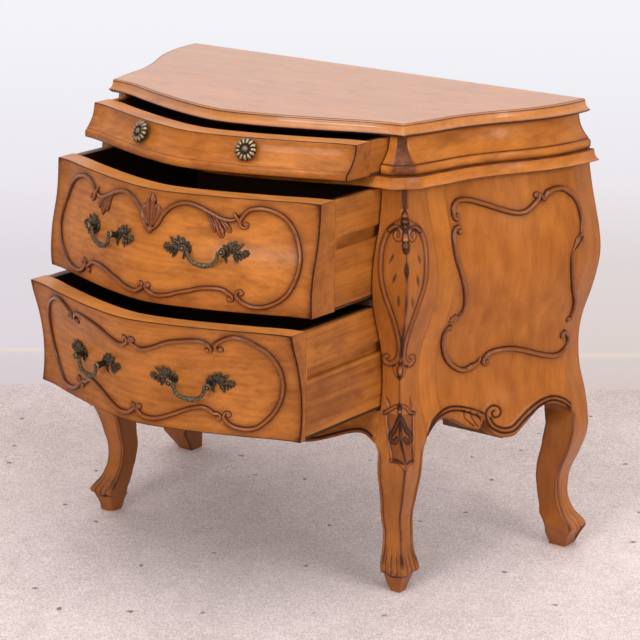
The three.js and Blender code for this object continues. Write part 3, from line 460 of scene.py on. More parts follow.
leg_out_curve = leg_curve((0.52, 0.55, 0.61, 0.7, 0.8, 0.72, 0.61, 0.52, 0.46), (
    (0.11, 0.41), (0.122, 0.39), (0.134, 0.37), (0.146, 0.36), (0.159, 0.37), (0.171, 0.4),
    (0.183, 0.45), (0.207, 0.53), (0.232, 0.63), (0.256, 0.74), (0.28, 0.8), (0.3, 0.79),
    (0.322, 0.74)))
leg_width_curve = leg_curve((0.52, 0.6, 0.7, 0.85, 0.97, 0.94, 0.865, 0.8, 0.765), (
    (0.122, 0.745), (0.146, 0.78), (0.171, 0.82), (0.183, 0.845), (0.207, 0.91), (0.256, 1.03),
    (0.293, 1.04)))
leg_face_curve = leg_curve((0.52, 0.6, 0.7, 0.85, 0.97, 0.945, 0.87, 0.81, 0.775), (
    (0.122, 0.76), (0.146, 0.8), (0.171, 0.85), (0.183, 0.88), (0.207, 0.955), (0.232, 1.04),
    (0.256, 1.12), (0.293, 1.17), (0.32, 1.04)))
side_out = lambda z: side_swell * side_out_curve(z / height)
front_out = lambda z: front_swell * front_out_curve(z / height)
leg_out = lambda z: side_swell * leg_out_curve(z / height)
leg_width = lambda z: knee_width * leg_width_curve(z / height)


def knee_blend(z, low, high):
    """0 on the leg, 1 on the post above it, smooth between two shares of the height."""
    t = np.clip((z / height - low) / (high - low), 0, 1)
    return t * t * (3 - 2 * t)


def mixed(a, b, share):
    return a + (b - a) * share


def run_along(line):
    """The way run from a line's start to each of its points."""
    return np.concatenate([[0], np.cumsum(np.hypot(*np.diff(line, axis=0).T))])


def unit(vectors):
    return vectors / np.linalg.norm(vectors, axis=-1, keepdims=True)


def drawn(points, step=1.2):
    """A drawn line made smooth: even points on a curve through the given ones."""
    points = np.array(points, float)
    if len(points) < 3:
        count = max(2, int(np.hypot(*(points[1] - points[0])) / step))
        return points[0] + (points[1] - points[0]) * np.linspace(0, 1, count)[:, None]
    runs = np.concatenate([[0], np.cumsum(np.sqrt(np.hypot(*np.diff(points, axis=0).T)))])
    curves = [smooth_curve(np.column_stack([runs, points[:, k]])) for k in (0, 1)]
    fine = np.linspace(0, runs[-1], 40 * len(points))
    line = np.column_stack([curve(fine) for curve in curves])
    length = run_along(line)
    even = np.linspace(0, length[-1], max(3, int(length[-1] / step)))
    return np.column_stack([np.interp(even, length, line[:, k]) for k in (0, 1)])


def near(points, line, limit=14):
    """How far each point lies from a drawn line, and its share of the way along it."""
    best = np.full(len(points), 99.0)
    share = np.zeros(len(points))
    low, high = line.min(0) - limit, line.max(0) + limit
    picked = np.flatnonzero(np.all((points > low) & (points < high), axis=1))
    if not len(picked):
        return best, share
    local = points[picked]
    for i, (a, b) in enumerate(zip(line[:-1], line[1:])):
        way = b - a
        t = np.clip((local - a) @ way / max(way @ way, 1e-9), 0, 1)
        away = np.hypot(*(local - a - t[:, None] * way).T)
        closer = away < best[picked]
        best[picked[closer]] = away[closer]
        share[picked[closer]] = (i + t[closer]) / (len(line) - 1)
    return best, share


def away_from(chart, points, limit=14):
    return near(chart, drawn(points), limit)[0]


def bell(distance, width):
    return np.exp(-(distance / width) ** 2)


def below(z, level, run):
    """0 above a level, and rising to 1 over a short run below it."""
    return np.clip((level - z) / run, 0, 1)


def above(z, level, run):
    return np.clip((z - level) / run, 0, 1)


# Lines of the carving on the post, drawn flat: across from the corner's ridge, and up from the floor.
teardrop = (
    ((-2, 662), (-17.5, 654), (-34.3, 641), (-45, 623), (-51, 603), (-52.8, 581), (-50.9, 558),
     (-44.5, 536), (-33.3, 513), (-21.4, 489), (-11.5, 464), (-5.5, 443), (-4.6, 427), (-8, 416),
     (-15, 408), (-25, 405), (-32, 408), (-33, 415), (-28, 418)),
    ((2, 662), (12.3, 655), (26, 648), (37, 634), (43.3, 614.5), (44.8, 592), (43.9, 568),
     (38.8, 546), (30.6, 523.5), (21.8, 499), (13.4, 474), (8.4, 450), (6.6, 429), (8, 416),
     (12, 408), (18, 404), (25, 405), (28.5, 410), (27.5, 416), (23, 418)))
volutes = (((-30, 644), (-22, 650), (-13, 650), (-7.5, 643), (-9, 634), (-16, 631), (-21, 636), (-18, 642)),
           ((30, 643), (22, 649), (13, 649), (7.5, 642), (9, 633), (15, 631), (19, 636), (17, 641)))
nicks = (((-36.4, 590), (-25, 607)), ((-30, 557), (-21.4, 576)), ((-15.6, 518), (-17, 539)),
         ((25.9, 605), (32.2, 589)), ((22.9, 573), (27.7, 552)), ((13, 536), (16.5, 517)))
knee_lines = (((-32, 317), (-24, 322), (-15.8, 327), (-6.9, 332), (0, 331), (6.9, 332), (12.6, 330),
               (17.4, 324), (22.6, 319), (28.5, 318)),
              ((-31.8, 317), (-28, 300), (-26.6, 278), (-30.3, 242)),
              ((28.5, 318), (27.5, 296), (28.2, 274), (22.5, 240)),
              ((-30.3, 242), (-18.3, 242), (-9.3, 239), (0, 231), (9, 239), (22, 240)),
              ((-4, 311), (-12.8, 293), (-22.6, 281), (-21.6, 275), (-14, 273.5), (-9, 279)),
              ((4, 311), (12, 294), (21, 283), (21, 276), (14, 273.5), (9, 279)),
              ((-12.4, 401), (-7.4, 388), (0, 383), (7.4, 388), (12.4, 401)))
knee_nicks = (((-28, 346), (-19.5, 329)), ((22.4, 347), (24.7, 321)))
pearls = ((677, 649, 5.6, 5.0), (645, 620, 5.0, 4.4), (629, 612, 5.8, 5.0), (590, 576, 2.6, 2.6),
          (334, 317, 3.4, 3.6), (408, 384, 4.2, 3.0), (308, 262, 2.0, 2.0))
teardrop_foot, teardrop_head = 420, 652
vein_foot, vein_head = 421, 612
facet_half = 8
facet_foot = 679
bead_top = 264
toe_lip = 34


def post_carving(s, z, front_width, side_width):
    """Height of the carving, and its glaze and painted shade, at each place on the post's two outer faces.
    """
    chart = np.column_stack([s, z])
    lift = np.zeros(len(s))
    dark = np.zeros(len(s))
    for line, sign in zip(teardrop, (-1, 1)):
        path = drawn(line)
        away, _ = near(chart, path)
        lift += 2.2 * bell(away, 3.0) - 0.9 * bell(away - 5.0, 1.3)
        dark += 0.52 * bell(away - 4.9, 1.9) + 0.14 * bell(away, 3) + 0.16 * bell(away, 9)
        order = np.argsort(path[:, 1])
        edge = np.interp(z, path[order, 1], np.abs(path[order, 0]))
        inside = (s * sign > 0) & (z > teardrop_foot) & (z < teardrop_head)
        field = below(np.abs(s), edge, 6) * inside
        lift += 0.8 * field
        dark += 0.12 * field
    for line in volutes:
        away = away_from(chart, line)
        lift += 1.6 * bell(away, 2.2)
        dark += 0.6 * bell(away - 3.4, 1.5)
    for line in nicks + knee_nicks:
        away, share = near(chart, drawn(line))
        width = 3.3 * np.sin(np.pi * np.clip(share, 0.04, 0.96)) ** 0.7
        lift -= 1.5 * bell(away, width)
        dark += 0.55 * bell(away, width)
    for line, bold in zip(knee_lines, (1, 0.45, 0.45, 0.8, 0.9, 0.9, 0.8)):
        away = away_from(chart, line)
        lift += bold * (1.3 * bell(away, 1.7) - 0.7 * bell(away - 2.9, 0.9))
        dark += bold * (0.62 * bell(away - 2.8, 1.4) + 0.18 * bell(away, 4))
    field = (z > 240) & (z < 318) & (s > -27) & (s < 26)
    dark += 0.46 * field
    lift -= 0.7 * field
    for high, low, half, rise in pearls:
        mid, tall = (high + low) / 2, (high - low) / 2
        reach = np.hypot(s / half, (z - mid) / tall)
        lift += rise * np.sqrt(np.clip(1 - reach ** 2, 0, 1))
        dark += 0.9 * bell((reach - 1.12) * half, 1.3) + 0.3 * (reach < 0.9) - 0.4 * (reach < 0.3)
    vein = (z > vein_foot) & (z < vein_head)
    dark += 0.66 * bell(s, 2.8) * vein * (1 + 0.2 * np.sin(z / 9))
    lift -= 0.8 * bell(s, 1.5) * vein
    stripe = 1.1 + below(z, 382, 48) * 3.2
    dark += 0.6 * bell(s, stripe) * (z > 333) * (z < 384)
    dark += 0.7 * below(np.abs(s), facet_half + 3.5, 7) * above(z, facet_foot, 3)
    # Down the shin: a dark groove on the ridge, and beside it on the side face a broad painted shade.
    shin = below(z, 236, 12) * above(z, 46, 10)
    dark += shin * (0.5 * bell(s, 2.8) + 0.34 * bell(s - 1.5, 6.5))
    lift -= shin * 1.1 * bell(s, 1.8)
    fade = below(z, 262, 14) * above(z, 44, 8)
    groove = 6.2 - 3.4 * above(z, 236, 26)
    for edge in (s + front_width, side_width - s):
        dark += fade * (0.56 * bell(edge - groove, 1.8) + 0.45 * bell(edge - 0.6, 1.3)
                        + 0.17 * bell(edge, 8))
        lift += fade * (1.2 * bell(edge - groove + 3.2, 2.2) - 1.0 * bell(edge - groove, 1.2))
    flute = below(z, 82, 22) * (z > toe_lip - 1)
    width = np.where(s < 0, front_width, side_width)
    for middle in (-0.75, -0.5, -0.25, 0.25, 0.5, 0.75):
        away = s - middle * width
        dark += flute * 0.5 * bell(away, 1.6)
        lift -= flute * 1.2 * bell(away, 1.5)
    lift += 1.6 * below(z, 70, 20) * (z > toe_lip - 1)
    # The toe is darkened all over, and darkest along its lip and on the pad under it: painted shade low on
    # the foot.
    dark += 0.2 * flute
    lip = toe_lip + 2.2 * np.cos(s / 6.0)
    dark += 0.95 * bell(z - lip + 1.6, 2.0) + 0.25 * (z < lip)
    lift -= 2.2 * below(z, lip, 2.5) * np.clip(z / 12, 0.3, 1)
    return lift, np.clip(dark, -0.3, 1)


def post_sides(corners, counts):
    """The sides of a post's section in turn: places, way out, share of the way along, and length."""
    for k, count in enumerate(counts):
        first, last = corners[k], corners[(k + 1) % 4]
        share = np.linspace(0, 1, count + 1)[:-1]
        run = np.hypot(*(last - first).T)[:, None]
        way = (last - first) / run
        place = first[:, None] + (last - first)[:, None] * share[:, None]
        yield place, np.stack([way[:, 1], -way[:, 0]], -1)[:, None], share[None, :], run


def post_mesh(name, hand, ring, z, dark):
    points = np.concatenate([ring, np.broadcast_to(z[:, None, None], ring.shape[:2] + (1,))], -1)
    return solid_mesh(name, mirrored(points.reshape(-1, 3), hand), rings_faces(*ring.shape[:2]), dark, 55)


def rounded_pad(ring, z, radius):
    """Turns the square section into a pad under the toe, longer the way the toe points."""
    centre = (ring.min(1, keepdims=True) + ring.max(1, keepdims=True)) / 2
    away = ring - centre
    reach = np.linalg.norm(away, axis=2, keepdims=True)
    toeward = (away[..., :1] - away[..., 1:]) ** 2 / (2 * reach ** 2)
    taper = radius * (0.5 + 0.5 * np.clip(z / 25, 0, 1) ** 0.8)[:, None, None] * (1 + 0.55 * toeward)
    share = (0.9 * np.clip((34 - z) / 5, 0, 1))[:, None, None]
    return centre + away * mixed(1, np.minimum(taper / reach, 1.06), share)


def leg_mesh(name, hand):
    """A front leg: a four-sided section at each level, with the carving on its two outer sides."""
    z = np.concatenate([np.linspace(0, 60, 52)[:-1], np.linspace(60, 235, 110)[:-1],
                        np.linspace(235, body_top, 350)])
    blend = knee_blend(z, 0.295, 0.335)
    ridge_x = corner_half + mixed(leg_out(z), front_out(z), blend)
    ridge_y = -corner_depth - front_out(z)
    width = leg_width(z)
    inner_x = mixed(ridge_x - knee_width * leg_face_curve(z / height), opening_half, blend)
    inner_y = mixed(ridge_y + width, -stile_depth, blend)
    end_x = mixed(ridge_x, side_line(inner_y) + side_out(z), blend)
    front_y = mixed(ridge_y, front_line(inner_x) - front_out(z), blend)
    corners = [np.stack(pair, -1) for pair in ((inner_x, front_y), (ridge_x, ridge_y), (end_x, inner_y),
                                               (inner_x, inner_y))]
    ways = [corners[k + 1] - corners[k] for k in (0, 1)]
    widths = [np.hypot(*way.T)[:, None] for way in ways]
    ways = [way / width for way, width in zip(ways, widths)]
    outward = sum(np.stack([way[:, 1], -way[:, 0]], -1) for way in ways) / 2
    parts, darks = [], []
    front_way = None
    for k, (place, normal, share, run) in enumerate(post_sides(corners, (50, 50, 9, 9))):
        lift = np.zeros(place.shape[:2])
        dark = np.full(place.shape[:2], 0.3)
        if k == 0:
            front_way = normal
        elif k == 1:
            turn = np.clip(1 - share[..., None] / 0.03, 0, 1) * 0.5
            normal = unit(normal * (1 - turn) + front_way * turn)
        if k < 2:
            s = run * (share - 1) if k == 0 else run * share
            zz = np.broadcast_to(z[:, None], s.shape)
            front_run, side_run = [np.broadcast_to(width, s.shape) for width in widths]
            lift, dark = post_carving(s.ravel(), zz.ravel(), front_run.ravel(), side_run.ravel())
            lift, dark = lift.reshape(s.shape), dark.reshape(s.shape)
            free = below(zz, bead_top, 10)
            edge = (s + front_run) if k == 0 else (side_run - s)
            inset = np.clip(1 - edge / 2.2, 0, 1)
            lift = lift * np.clip(edge + 1 - free, 0, 1) - 0.8 * inset ** 2 * free
            chamfer = np.clip(facet_half - np.abs(s), 0, None) * above(zz, facet_foot - 3, 5)
            place = place - outward[:, None] * chamfer[..., None]
        parts.append(place + normal * lift[..., None])
        darks.append(dark)
    ring = rounded_pad(np.concatenate(parts, 1), z, pad_radius)
    return post_mesh(name, hand, ring, z, np.concatenate(darks, 1))


for side, hand in sides:
    mesh = leg_mesh(f"front_leg_{side}_carved", hand)
    settle(mesh, leg_finish, "case", "case_wood", f"front_leg_{side}")

# Back legs: plainer posts of the same cabriole line, square to the wall, with the bead of the
# apron carried down the side face to the toe.
post_width = 45
post_inside = back_half - post_width / 2
back_width_curve = leg_curve((0.68, 0.78, 0.9, 1.02, 1.1, 1.08, 0.98, 0.88, 0.82), (
    (0.122, 0.815), (0.143, 0.855), (0.166, 0.905), (0.189, 0.985), (0.211, 1.045), (0.234, 1.085),
    (0.256, 1.14), (0.293, 1.12)))
groove_curve = smooth_curve([(30, 4), (44, 5), (58, 9), (76, 11), (95, 11), (125, 8.5), (158, 7),
                             (215, 6.4), (262, 6)])


def back_leg_mesh(name, hand):
    z = np.concatenate([np.linspace(0, 290, 190)[:-1], np.linspace(290, body_top, 60)])
    blend = knee_blend(z, 0.286, 0.32)
    outer_x = back_half + side_out(z)
    width = knee_width * back_width_curve(z / height)
    inner_x = mixed(outer_x - width, post_inside, blend)
    inner_y = mixed(back_face - width, back_face - post_width, blend)
    front_x = outer_x + blend * (side_line(inner_y) - back_half)
    back_y = np.full(len(z), back_face, float)
    corners = [np.stack(pair, -1) for pair in ((inner_x, inner_y), (front_x, inner_y), (outer_x, back_y),
                                               (inner_x, back_y))]
    parts, darks = [], []
    for k, (place, normal, share, run) in enumerate(post_sides(corners, (26, 40, 8, 8))):
        s = run * share
        zz = np.broadcast_to(z[:, None], s.shape)
        fade = below(zz, 268, 10) * above(zz, 36, 6)
        lift = np.zeros(s.shape)
        dark = np.full(s.shape, 0.38)
        if k == 0:
            dark = 0.28 + 0.35 * bell(run - s, 3) * fade + 0.4 * bell(s, 3)
        elif k == 1:
            groove = groove_curve(zz)
            dark = 0.66 * fade * (bell(s - groove, 1.7) + bell(s - groove + 5, 1.4) + 0.25 * bell(s, 9))
            lift = fade * (1.0 * bell(s - groove + 2.5, 2) - 1.2 * bell(s - groove, 1.3))
            lip = toe_lip - 1 + 8 * s / run
            toe = below(zz, lip, 2.5)
            dark += 0.45 * bell(run - s, 1.5)
            # Darkest along the toe's lip and on the pad under it: painted shade under the toe.
            dark += 0.85 * bell(zz - lip + 1.4, 1.8) + 0.25 * toe
            flute = below(zz, 90, 26) * (zz > lip)
            for middle in (0.42, 0.66):
                dark += flute * 0.5 * bell(s - middle * run, 1.4)
                lift -= flute * 1.2 * bell(s - middle * run, 1.8)
            lift -= 3.2 * toe * np.clip(zz / 12, 0.3, 1)
        eased = np.clip(1 - np.minimum(s, run - s) / 2.0, 0, 1) ** 2
        lift = lift - 0.9 * eased * below(zz, bead_top, 10)
        parts.append(place + normal * lift[..., None])
        darks.append(np.clip(dark, -0.2, 1))
    return post_mesh(name, hand, np.concatenate(parts, 1), z, np.concatenate(darks, 1))


for side, hand in sides:
    mesh = back_leg_mesh(f"back_leg_{side}_carved", hand)
    settle(mesh, leg_finish, "case", "case_wood", f"back_leg_{side}")

# Side panels: one swelling board on each side, glued up from upright planks. Its lower edge is sawn as
# the scrolled apron and carved with a bead that ends in a leaf and a scroll.
panel_thickness = 18
panel_front = -stile_depth + glue_line
panel_back = back_face - post_width - glue_line
side_edge_points = ((-352, 270), (-345, 279), (-334, 288), (-320, 295), (-304, 297), (-286, 290),
                    (-264, 276), (-247, 267), (-238, 264.5), (-231, 271), (-225, 279), (-221, 269),
                    (-212, 253), (-202, 245.5), (-192, 242.5), (-180, 242), (-171, 245), (-160, 255),
                    (-140, 272), (-125, 283), (-110, 288), (-92, 287), (-75, 281), (-60, 272),
                    (-49, 262))
side_edge = smooth_curve(side_edge_points)
apron_beads = (
    ((-351, 272), (-344, 285), (-332, 299), (-313, 309), (-292, 313), (-273, 311), (-253, 305), (-236, 298),
     (-225, 291)),
    ((-345, 281), (-337, 290), (-325, 299), (-309, 304), (-292, 306), (-274, 304), (-256, 298), (-242, 291),
     (-232, 284)),
    ((-203, 292), (-208, 290), (-208, 284), (-203, 280), (-196, 282), (-192, 289), (-195, 297), (-204, 301),
     (-214, 297), (-220, 289), (-220, 278), (-216, 267), (-207, 258), (-192, 251), (-174, 252), (-156, 266),
     (-139, 278), (-116, 290), (-92, 293), (-69, 284), (-52, 270)),
    ((-213, 281), (-209, 271), (-202, 264), (-190, 259), (-177, 260), (-161, 272), (-143, 285), (-118, 297),
     (-90, 300), (-66, 291), (-50, 278)))
leaf_lines = (((-261, 302), (-262, 290), (-254, 280), (-246, 272)),
              ((-250, 298), (-248, 287), (-242, 276), (-237, 269)),
              ((-238, 293), (-234, 285), (-232, 278)))


def body_side(y, z):
    return np.stack(np.broadcast_arrays(side_line(y) + side_out(z), y, z), -1)


def slab_faces(columns, rows, backs=2):
    """Faces of a carved board: a fine grid in front, a coarser one behind, and the rims between."""
    i, j = np.meshgrid(np.arange(columns - 1), np.arange(rows - 1), indexing="ij")
    a = i * rows + j
    faces = np.stack([a, a + rows, a + rows + 1, a + 1], -1).reshape(-1, 4).tolist()
    first = columns * rows
    for c in range(columns - 1):
        low, low2 = first + backs * c, first + backs * (c + 1)
        faces.append([c * rows, low, low2, (c + 1) * rows])
        faces.append([c * rows + rows - 1, (c + 1) * rows + rows - 1, low2 + backs - 1, low + backs - 1])
        faces += [[low + k, low + k + 1, low2 + k + 1, low2 + k] for k in range(backs - 1)]
    for c in (0, columns - 1):
        front = [c * rows + k for k in range(rows)]
        back = [first + backs * c + k for k in range(backs)]
        if backs == rows:
            faces += [[front[k], front[k + 1], back[k + 1], back[k]] for k in range(rows - 1)]
        else:
            faces.append(front + back[::-1])
    return faces


def bead_rows(low, high, fine=66, fine_step=1.0, count=78):
    """Levels from a sawn edge upwards, close together where the edge is carved."""
    near_edge = np.arange(0, fine, fine_step)
    rest = np.linspace(fine, high - low, count)
    return low + np.concatenate([near_edge, rest])


def edge_carving(chart, edge_line, beads, leaves):
    """A bead along a sawn lower edge, and the leaf and scroll that it ends in."""
    edge_away = away_from(chart, edge_line, 30)
    lift = -1.4 * np.clip(1 - edge_away / 1.8, 0, 1) ** 2
    dark = 0.35 * bell(edge_away, 2.0) + 0.16 * bell(edge_away, 16)
    for line in beads:
        away = away_from(chart, line)
        lift += 0.9 * bell(away - 3.5, 2.2) - 1.1 * bell(away, 1.3)
        dark += 0.72 * bell(away, 1.7) + 0.24 * bell(away, 4.5)
    for line in leaves:
        away = away_from(chart, line)
        lift += 1.5 * bell(away - 2.4, 1.8) - 0.9 * bell(away, 1.2)
        dark += 0.6 * bell(away, 1.3)
    return lift, dark


side_finish = wood_finish("side_wood", (0.55, 0.185, 0.03, 1), (0.31, 0.088, 0.012, 1), "zyx", 82, 0.13,
                          0.65, 0.37, 0.12, 0.15, seed=3)
y_columns = np.linspace(panel_front, panel_back, 272)
panel_z = np.array([bead_rows(side_edge(y), body_top) for y in y_columns])
panel_y = np.repeat(y_columns[:, None], panel_z.shape[1], 1)
panel_chart = np.column_stack([panel_y.ravel(), panel_z.ravel()])
panel_lift, panel_dark = edge_carving(panel_chart, side_edge_points, apron_beads, leaf_lines)
# A painted shade along the top of the panel under the waist moulding, and a dark joint line at its front
# edge.
panel_dark += 0.3 * bell(body_top - panel_chart[:, 1], 7) + 0.1 * bell(panel_chart[:, 0] - panel_front, 3)

# Carved strands: rounded mouldings planted on the faces in broken scrolls, each ending in a curled eye.
# They are stained darker than the ground, with glaze caught along both roots, and the ground beside them
# carries a painted shade.
strand_width = 7.6
strand_rise = 4.4
eye_radius = 4.2
eye_taper = 44
plain_taper = 20
tip_taper = 9
strand_profile = ((-1.25, -0.25, 1), (-1.1, 0.02, 1), (-0.98, 0.2, 0.95), (-0.86, 0.5, 0.7),
                  (-0.66, 0.8, 0.35), (-0.42, 0.96, 0.12), (-0.15, 1.02, -0.1), (0.15, 1.02, -0.1),
                  (0.42, 0.96, 0.12), (0.66, 0.8, 0.35), (0.86, 0.5, 0.7), (0.98, 0.2, 0.95),
                  (1.1, 0.02, 1), (1.25, -0.25, 1))
fluted_profile = ((-1.15, -0.25, 1), (-1, 0.1, 1), (-0.86, 0.5, 0.6), (-0.66, 0.85, 0.1),
                  (-0.45, 0.95, -0.05), (-0.25, 0.82, 0.2), (0, 0.6, 0.75), (0.25, 0.82, 0.2),
                  (0.45, 0.95, -0.05), (0.66, 0.85, 0.1), (0.86, 0.5, 0.6), (1, 0.1, 1),
                  (1.15, -0.25, 1))
carved_finish = wood_finish("carved_wood", (0.34, 0.09, 0.013, 1), (0.15, 0.037, 0.006, 1), "xzy", 500,
                            0.03, 0.9, 0.3, 0.6, 0.14, seed=11)


def on_face(face, u, v, out=0.0):
    """A place on a curved face moved out along its normal, and that normal."""
    u, v = np.asarray(u, float), np.asarray(v, float)
    along_u = face(u + 1, v) - face(u - 1, v)
    along_v = face(u, v + 1) - face(u, v - 1)
    normal = unit(np.cross(along_u, along_v))
    return face(u, v) + normal * np.asarray(out)[..., None], normal


def curled(line, eye, turns=1.25, tip=1.6, rate=1.35):
    """The line carried on from its last point into a spiral that closes in on an eye."""
    eye = np.array(eye, float)
    start = line[-1] - eye
    way = line[-1] - line[-2]
    sense = 1 if start[0] * way[1] - start[1] * way[0] > 0 else -1
    radius = np.hypot(*start)
    angle = math.atan2(start[1], start[0])
    turn = np.linspace(0, turns * 2 * math.pi, 34)[1:]
    reach = tip + (radius - tip) * np.exp(-rate * turn / math.pi)
    angles = angle + sense * turn
    spiral = eye + np.stack([reach * np.cos(angles), reach * np.sin(angles)], -1)
    return np.concatenate([line, spiral])


def ribbon(face, line, half_widths, rises, profile=strand_profile):
    """Points, glaze and faces of one strand that follows a line on a face."""
    centre, normal = on_face(face, line[:, 0], line[:, 1])
    across = unit(np.cross(unit(np.gradient(centre, axis=0)), normal))
    shape = np.array(profile)
    points = (centre[:, None] + across[:, None] * (half_widths[:, None] * shape[:, 0])[..., None]
              + normal[:, None] * (rises[:, None] * shape[:, 1])[..., None])
    glaze = np.broadcast_to(shape[:, 2], points.shape[:2])
    return points.reshape(-1, 3), glaze.ravel(), rings_faces(len(line), len(shape))


def strand_shadow(chart, line):
    """Painted shade on the ground along both sides of a strand."""
    away, _ = near(chart, line, 22)
    return 0.42 * bell(away, 6.5) + 0.13 * bell(away, 13)


def button(face, u, v, radius, rise):
    """A small carved dome: the eye of a scroll."""
    rows, columns = 7, 14
    angle = np.linspace(0, 2 * math.pi, columns, endpoint=False)
    points, glaze = [], []
    for k in range(rows):
        t = k / (rows - 1)
        r = radius * math.cos(t * math.pi / 2 * 0.96) * (1.15 if k == 0 else 1)
        ring_u, ring_v = u + r * np.cos(angle), v + r * np.sin(angle)
        out = rise * math.sin(t * math.pi / 2) - (0.9 if k == 0 else 0)
        points.append(on_face(face, ring_u, ring_v, np.full(columns, out))[0])
        glaze.append(np.full(columns, (1, 0.7, 0.3, 0.1, 0, -0.05, -0.1)[k]))
    return np.concatenate(points), np.concatenate(glaze), rings_faces(rows, columns)


class Carving:
    """Collects closed shells that are carved as one piece."""

    def __init__(self, bold=1.0):
        self.bold = bold
        self.points, self.glaze, self.faces, self.lines = [], [], [], []
        self.count = 0

    def add(self, shell):
        points, glaze, faces = shell
        self.points.append(points)
        self.glaze.append(glaze)
        self.faces.extend([[i + self.count for i in face] for face in faces])
        self.count += len(points)

    def strand(self, face, points, start=None, end=None, fat_start=0.0):
        """A strand that tapers to its ends, and curls round an eye at each end that has one."""
        line = drawn(points, 1.6)
        self.lines.append(line)
        if end is not None:
            line = curled(line, end)
        if start is not None:
            line = curled(line[::-1], start)[::-1]
        from_start = run_along(line)
        from_end = from_start[-1] - from_start
        taper = np.ones(len(line))
        for eye, away in ((start, from_start), (end, from_end)):
            taper *= np.clip(0.2 + away / (plain_taper if eye is None else eye_taper), 0, 1)
        for eye, away in ((start, from_start), (end, from_end)):
            if eye is None:
                taper *= np.clip(0.25 + away / tip_taper, 0, 1)
        widths = strand_width / 2 * self.bold * (0.35 + 0.65 * taper)
        if fat_start:
            widths = widths * (1 + fat_start * bell(from_start - 12, 9))
        rises = strand_rise * (0.55 + 0.45 * taper) * self.bold
        self.add(ribbon(face, line, widths, rises))
        for eye in (start, end):
            if eye is not None:
                self.add(button(face, *eye, eye_radius, strand_rise * 1.3))

    def leaf(self, face, points, width, rise, blunt=False):
        """A short lobe: widest past its middle with pointed ends, or fluted with a blunt end."""
        line = drawn(points, 1.2)
        t = np.linspace(0, 1, len(line))
        swell = np.sin(np.pi * t ** 0.8) ** 0.75
        if blunt:
            swell = np.minimum(t / 0.7, 1) ** 0.9 * np.sqrt(np.clip(1 - (t - 0.8) / 0.2, 0.02, 1))
        rises = rise * (0.35 + 0.65 * swell)
        if blunt:
            rises = rises * np.sqrt(np.clip(1 - (t - 0.86) / 0.14, 0.01, 1))
        self.add(ribbon(face, line, width / 2 * (0.12 + 0.88 * swell), rises,
                        fluted_profile if blunt else strand_profile))

    def mesh(self, name, hand=1):
        return solid_mesh(name, mirrored(np.concatenate(self.points), hand), self.faces,
                          np.concatenate(self.glaze), 60)


side_carving = Carving(1.25)
side_carving.strand(body_side, ((-300, 659), (-297, 671), (-285, 679), (-262, 677), (-234, 667),
                                (-206, 655), (-181, 646), (-164, 646), (-149, 654), (-137, 664)),
                    (-291, 654), (-140, 671))
side_carving.strand(body_side, ((-128, 662), (-117, 672), (-104, 677), (-85, 676), (-66, 664), (-55, 649),
                                (-51, 631), (-52, 611), (-59, 596)), fat_start=0.5)
side_carving.strand(body_side, ((-83, 560), (-82, 553), (-77, 532), (-64, 498), (-47, 469), (-40, 448),
                                (-41, 436)), end=(-47, 433))
side_carving.strand(body_side, ((-49, 408), (-38, 397), (-40, 382), (-53, 372), (-74, 369), (-105, 377),
                                (-139, 390), (-164, 397), (-187, 397), (-202, 393), (-211, 384)),
                    (-53, 402), (-205, 378))
side_carving.strand(body_side, ((-221, 381), (-233, 374), (-251, 371), (-269, 380), (-287, 398),
                                (-300, 423), (-305, 445), (-302, 458)), end=(-296, 456), fat_start=0.5)
side_carving.strand(body_side, ((-287, 472), (-277, 481), (-276, 499), (-285, 526), (-298, 555),
                                (-308, 583), (-310, 606), (-308, 625), (-301, 634), (-293, 636)),
                    (-292, 477), (-293, 629))
for points, width, rise in ((((-57, 596), (-53, 586), (-62, 576), (-80, 564)), 7, 4),
                            (((-58, 594), (-68, 588), (-76, 576), (-83, 562)), 6, 4),
                            (((-302, 480), (-296, 474), (-286, 471)), 8, 5),
                            (((-136, 676), (-129, 668), (-121, 660)), 8, 4.5),
                            (((-216, 389), (-221, 380), (-229, 371)), 7, 4)):
    side_carving.leaf(body_side, points, width, rise)
side_carving.add(button(body_side, -58, 591, 4, 5))
side_carving.add(button(body_side, -300, 472, eye_radius, 5))

# The panel beside each strand gets a painted shade.
for line in side_carving.lines:
    panel_dark += strand_shadow(panel_chart, line)
panel_outer, _ = on_face(body_side, panel_y.ravel(), panel_z.ravel(), panel_lift)
back_shares = np.array((0, 0.1, 0.22, 0.36, 0.5, 0.64, 0.8, 1))
panel_inner = np.concatenate([[(side_line(y) + side_out(z) - panel_thickness, y, z)
                               for z in low + (body_top - low) * back_shares]
                              for y, low in zip(y_columns, side_edge(y_columns))])
panel_points = np.concatenate([panel_outer, panel_inner])
# The inner face is glazed flat and darker: painted shade inside the case.
panel_glaze = np.concatenate([np.clip(panel_dark, 0, 1), np.full(len(panel_inner), 0.4)])
for side, hand in sides:
    mesh = solid_mesh(f"side_panel_{side}_carved", mirrored(panel_points, hand),
                      slab_faces(len(y_columns), panel_y.shape[1], len(back_shares)), panel_glaze, 45)
    settle(mesh, side_finish, "case", "case_wood", f"side_panel_{side}")
    mesh = side_carving.mesh(f"side_scrolls_{side}", hand)
    settle(mesh, carved_finish, "case", "carved_wood", f"side_cartouche_{side}")

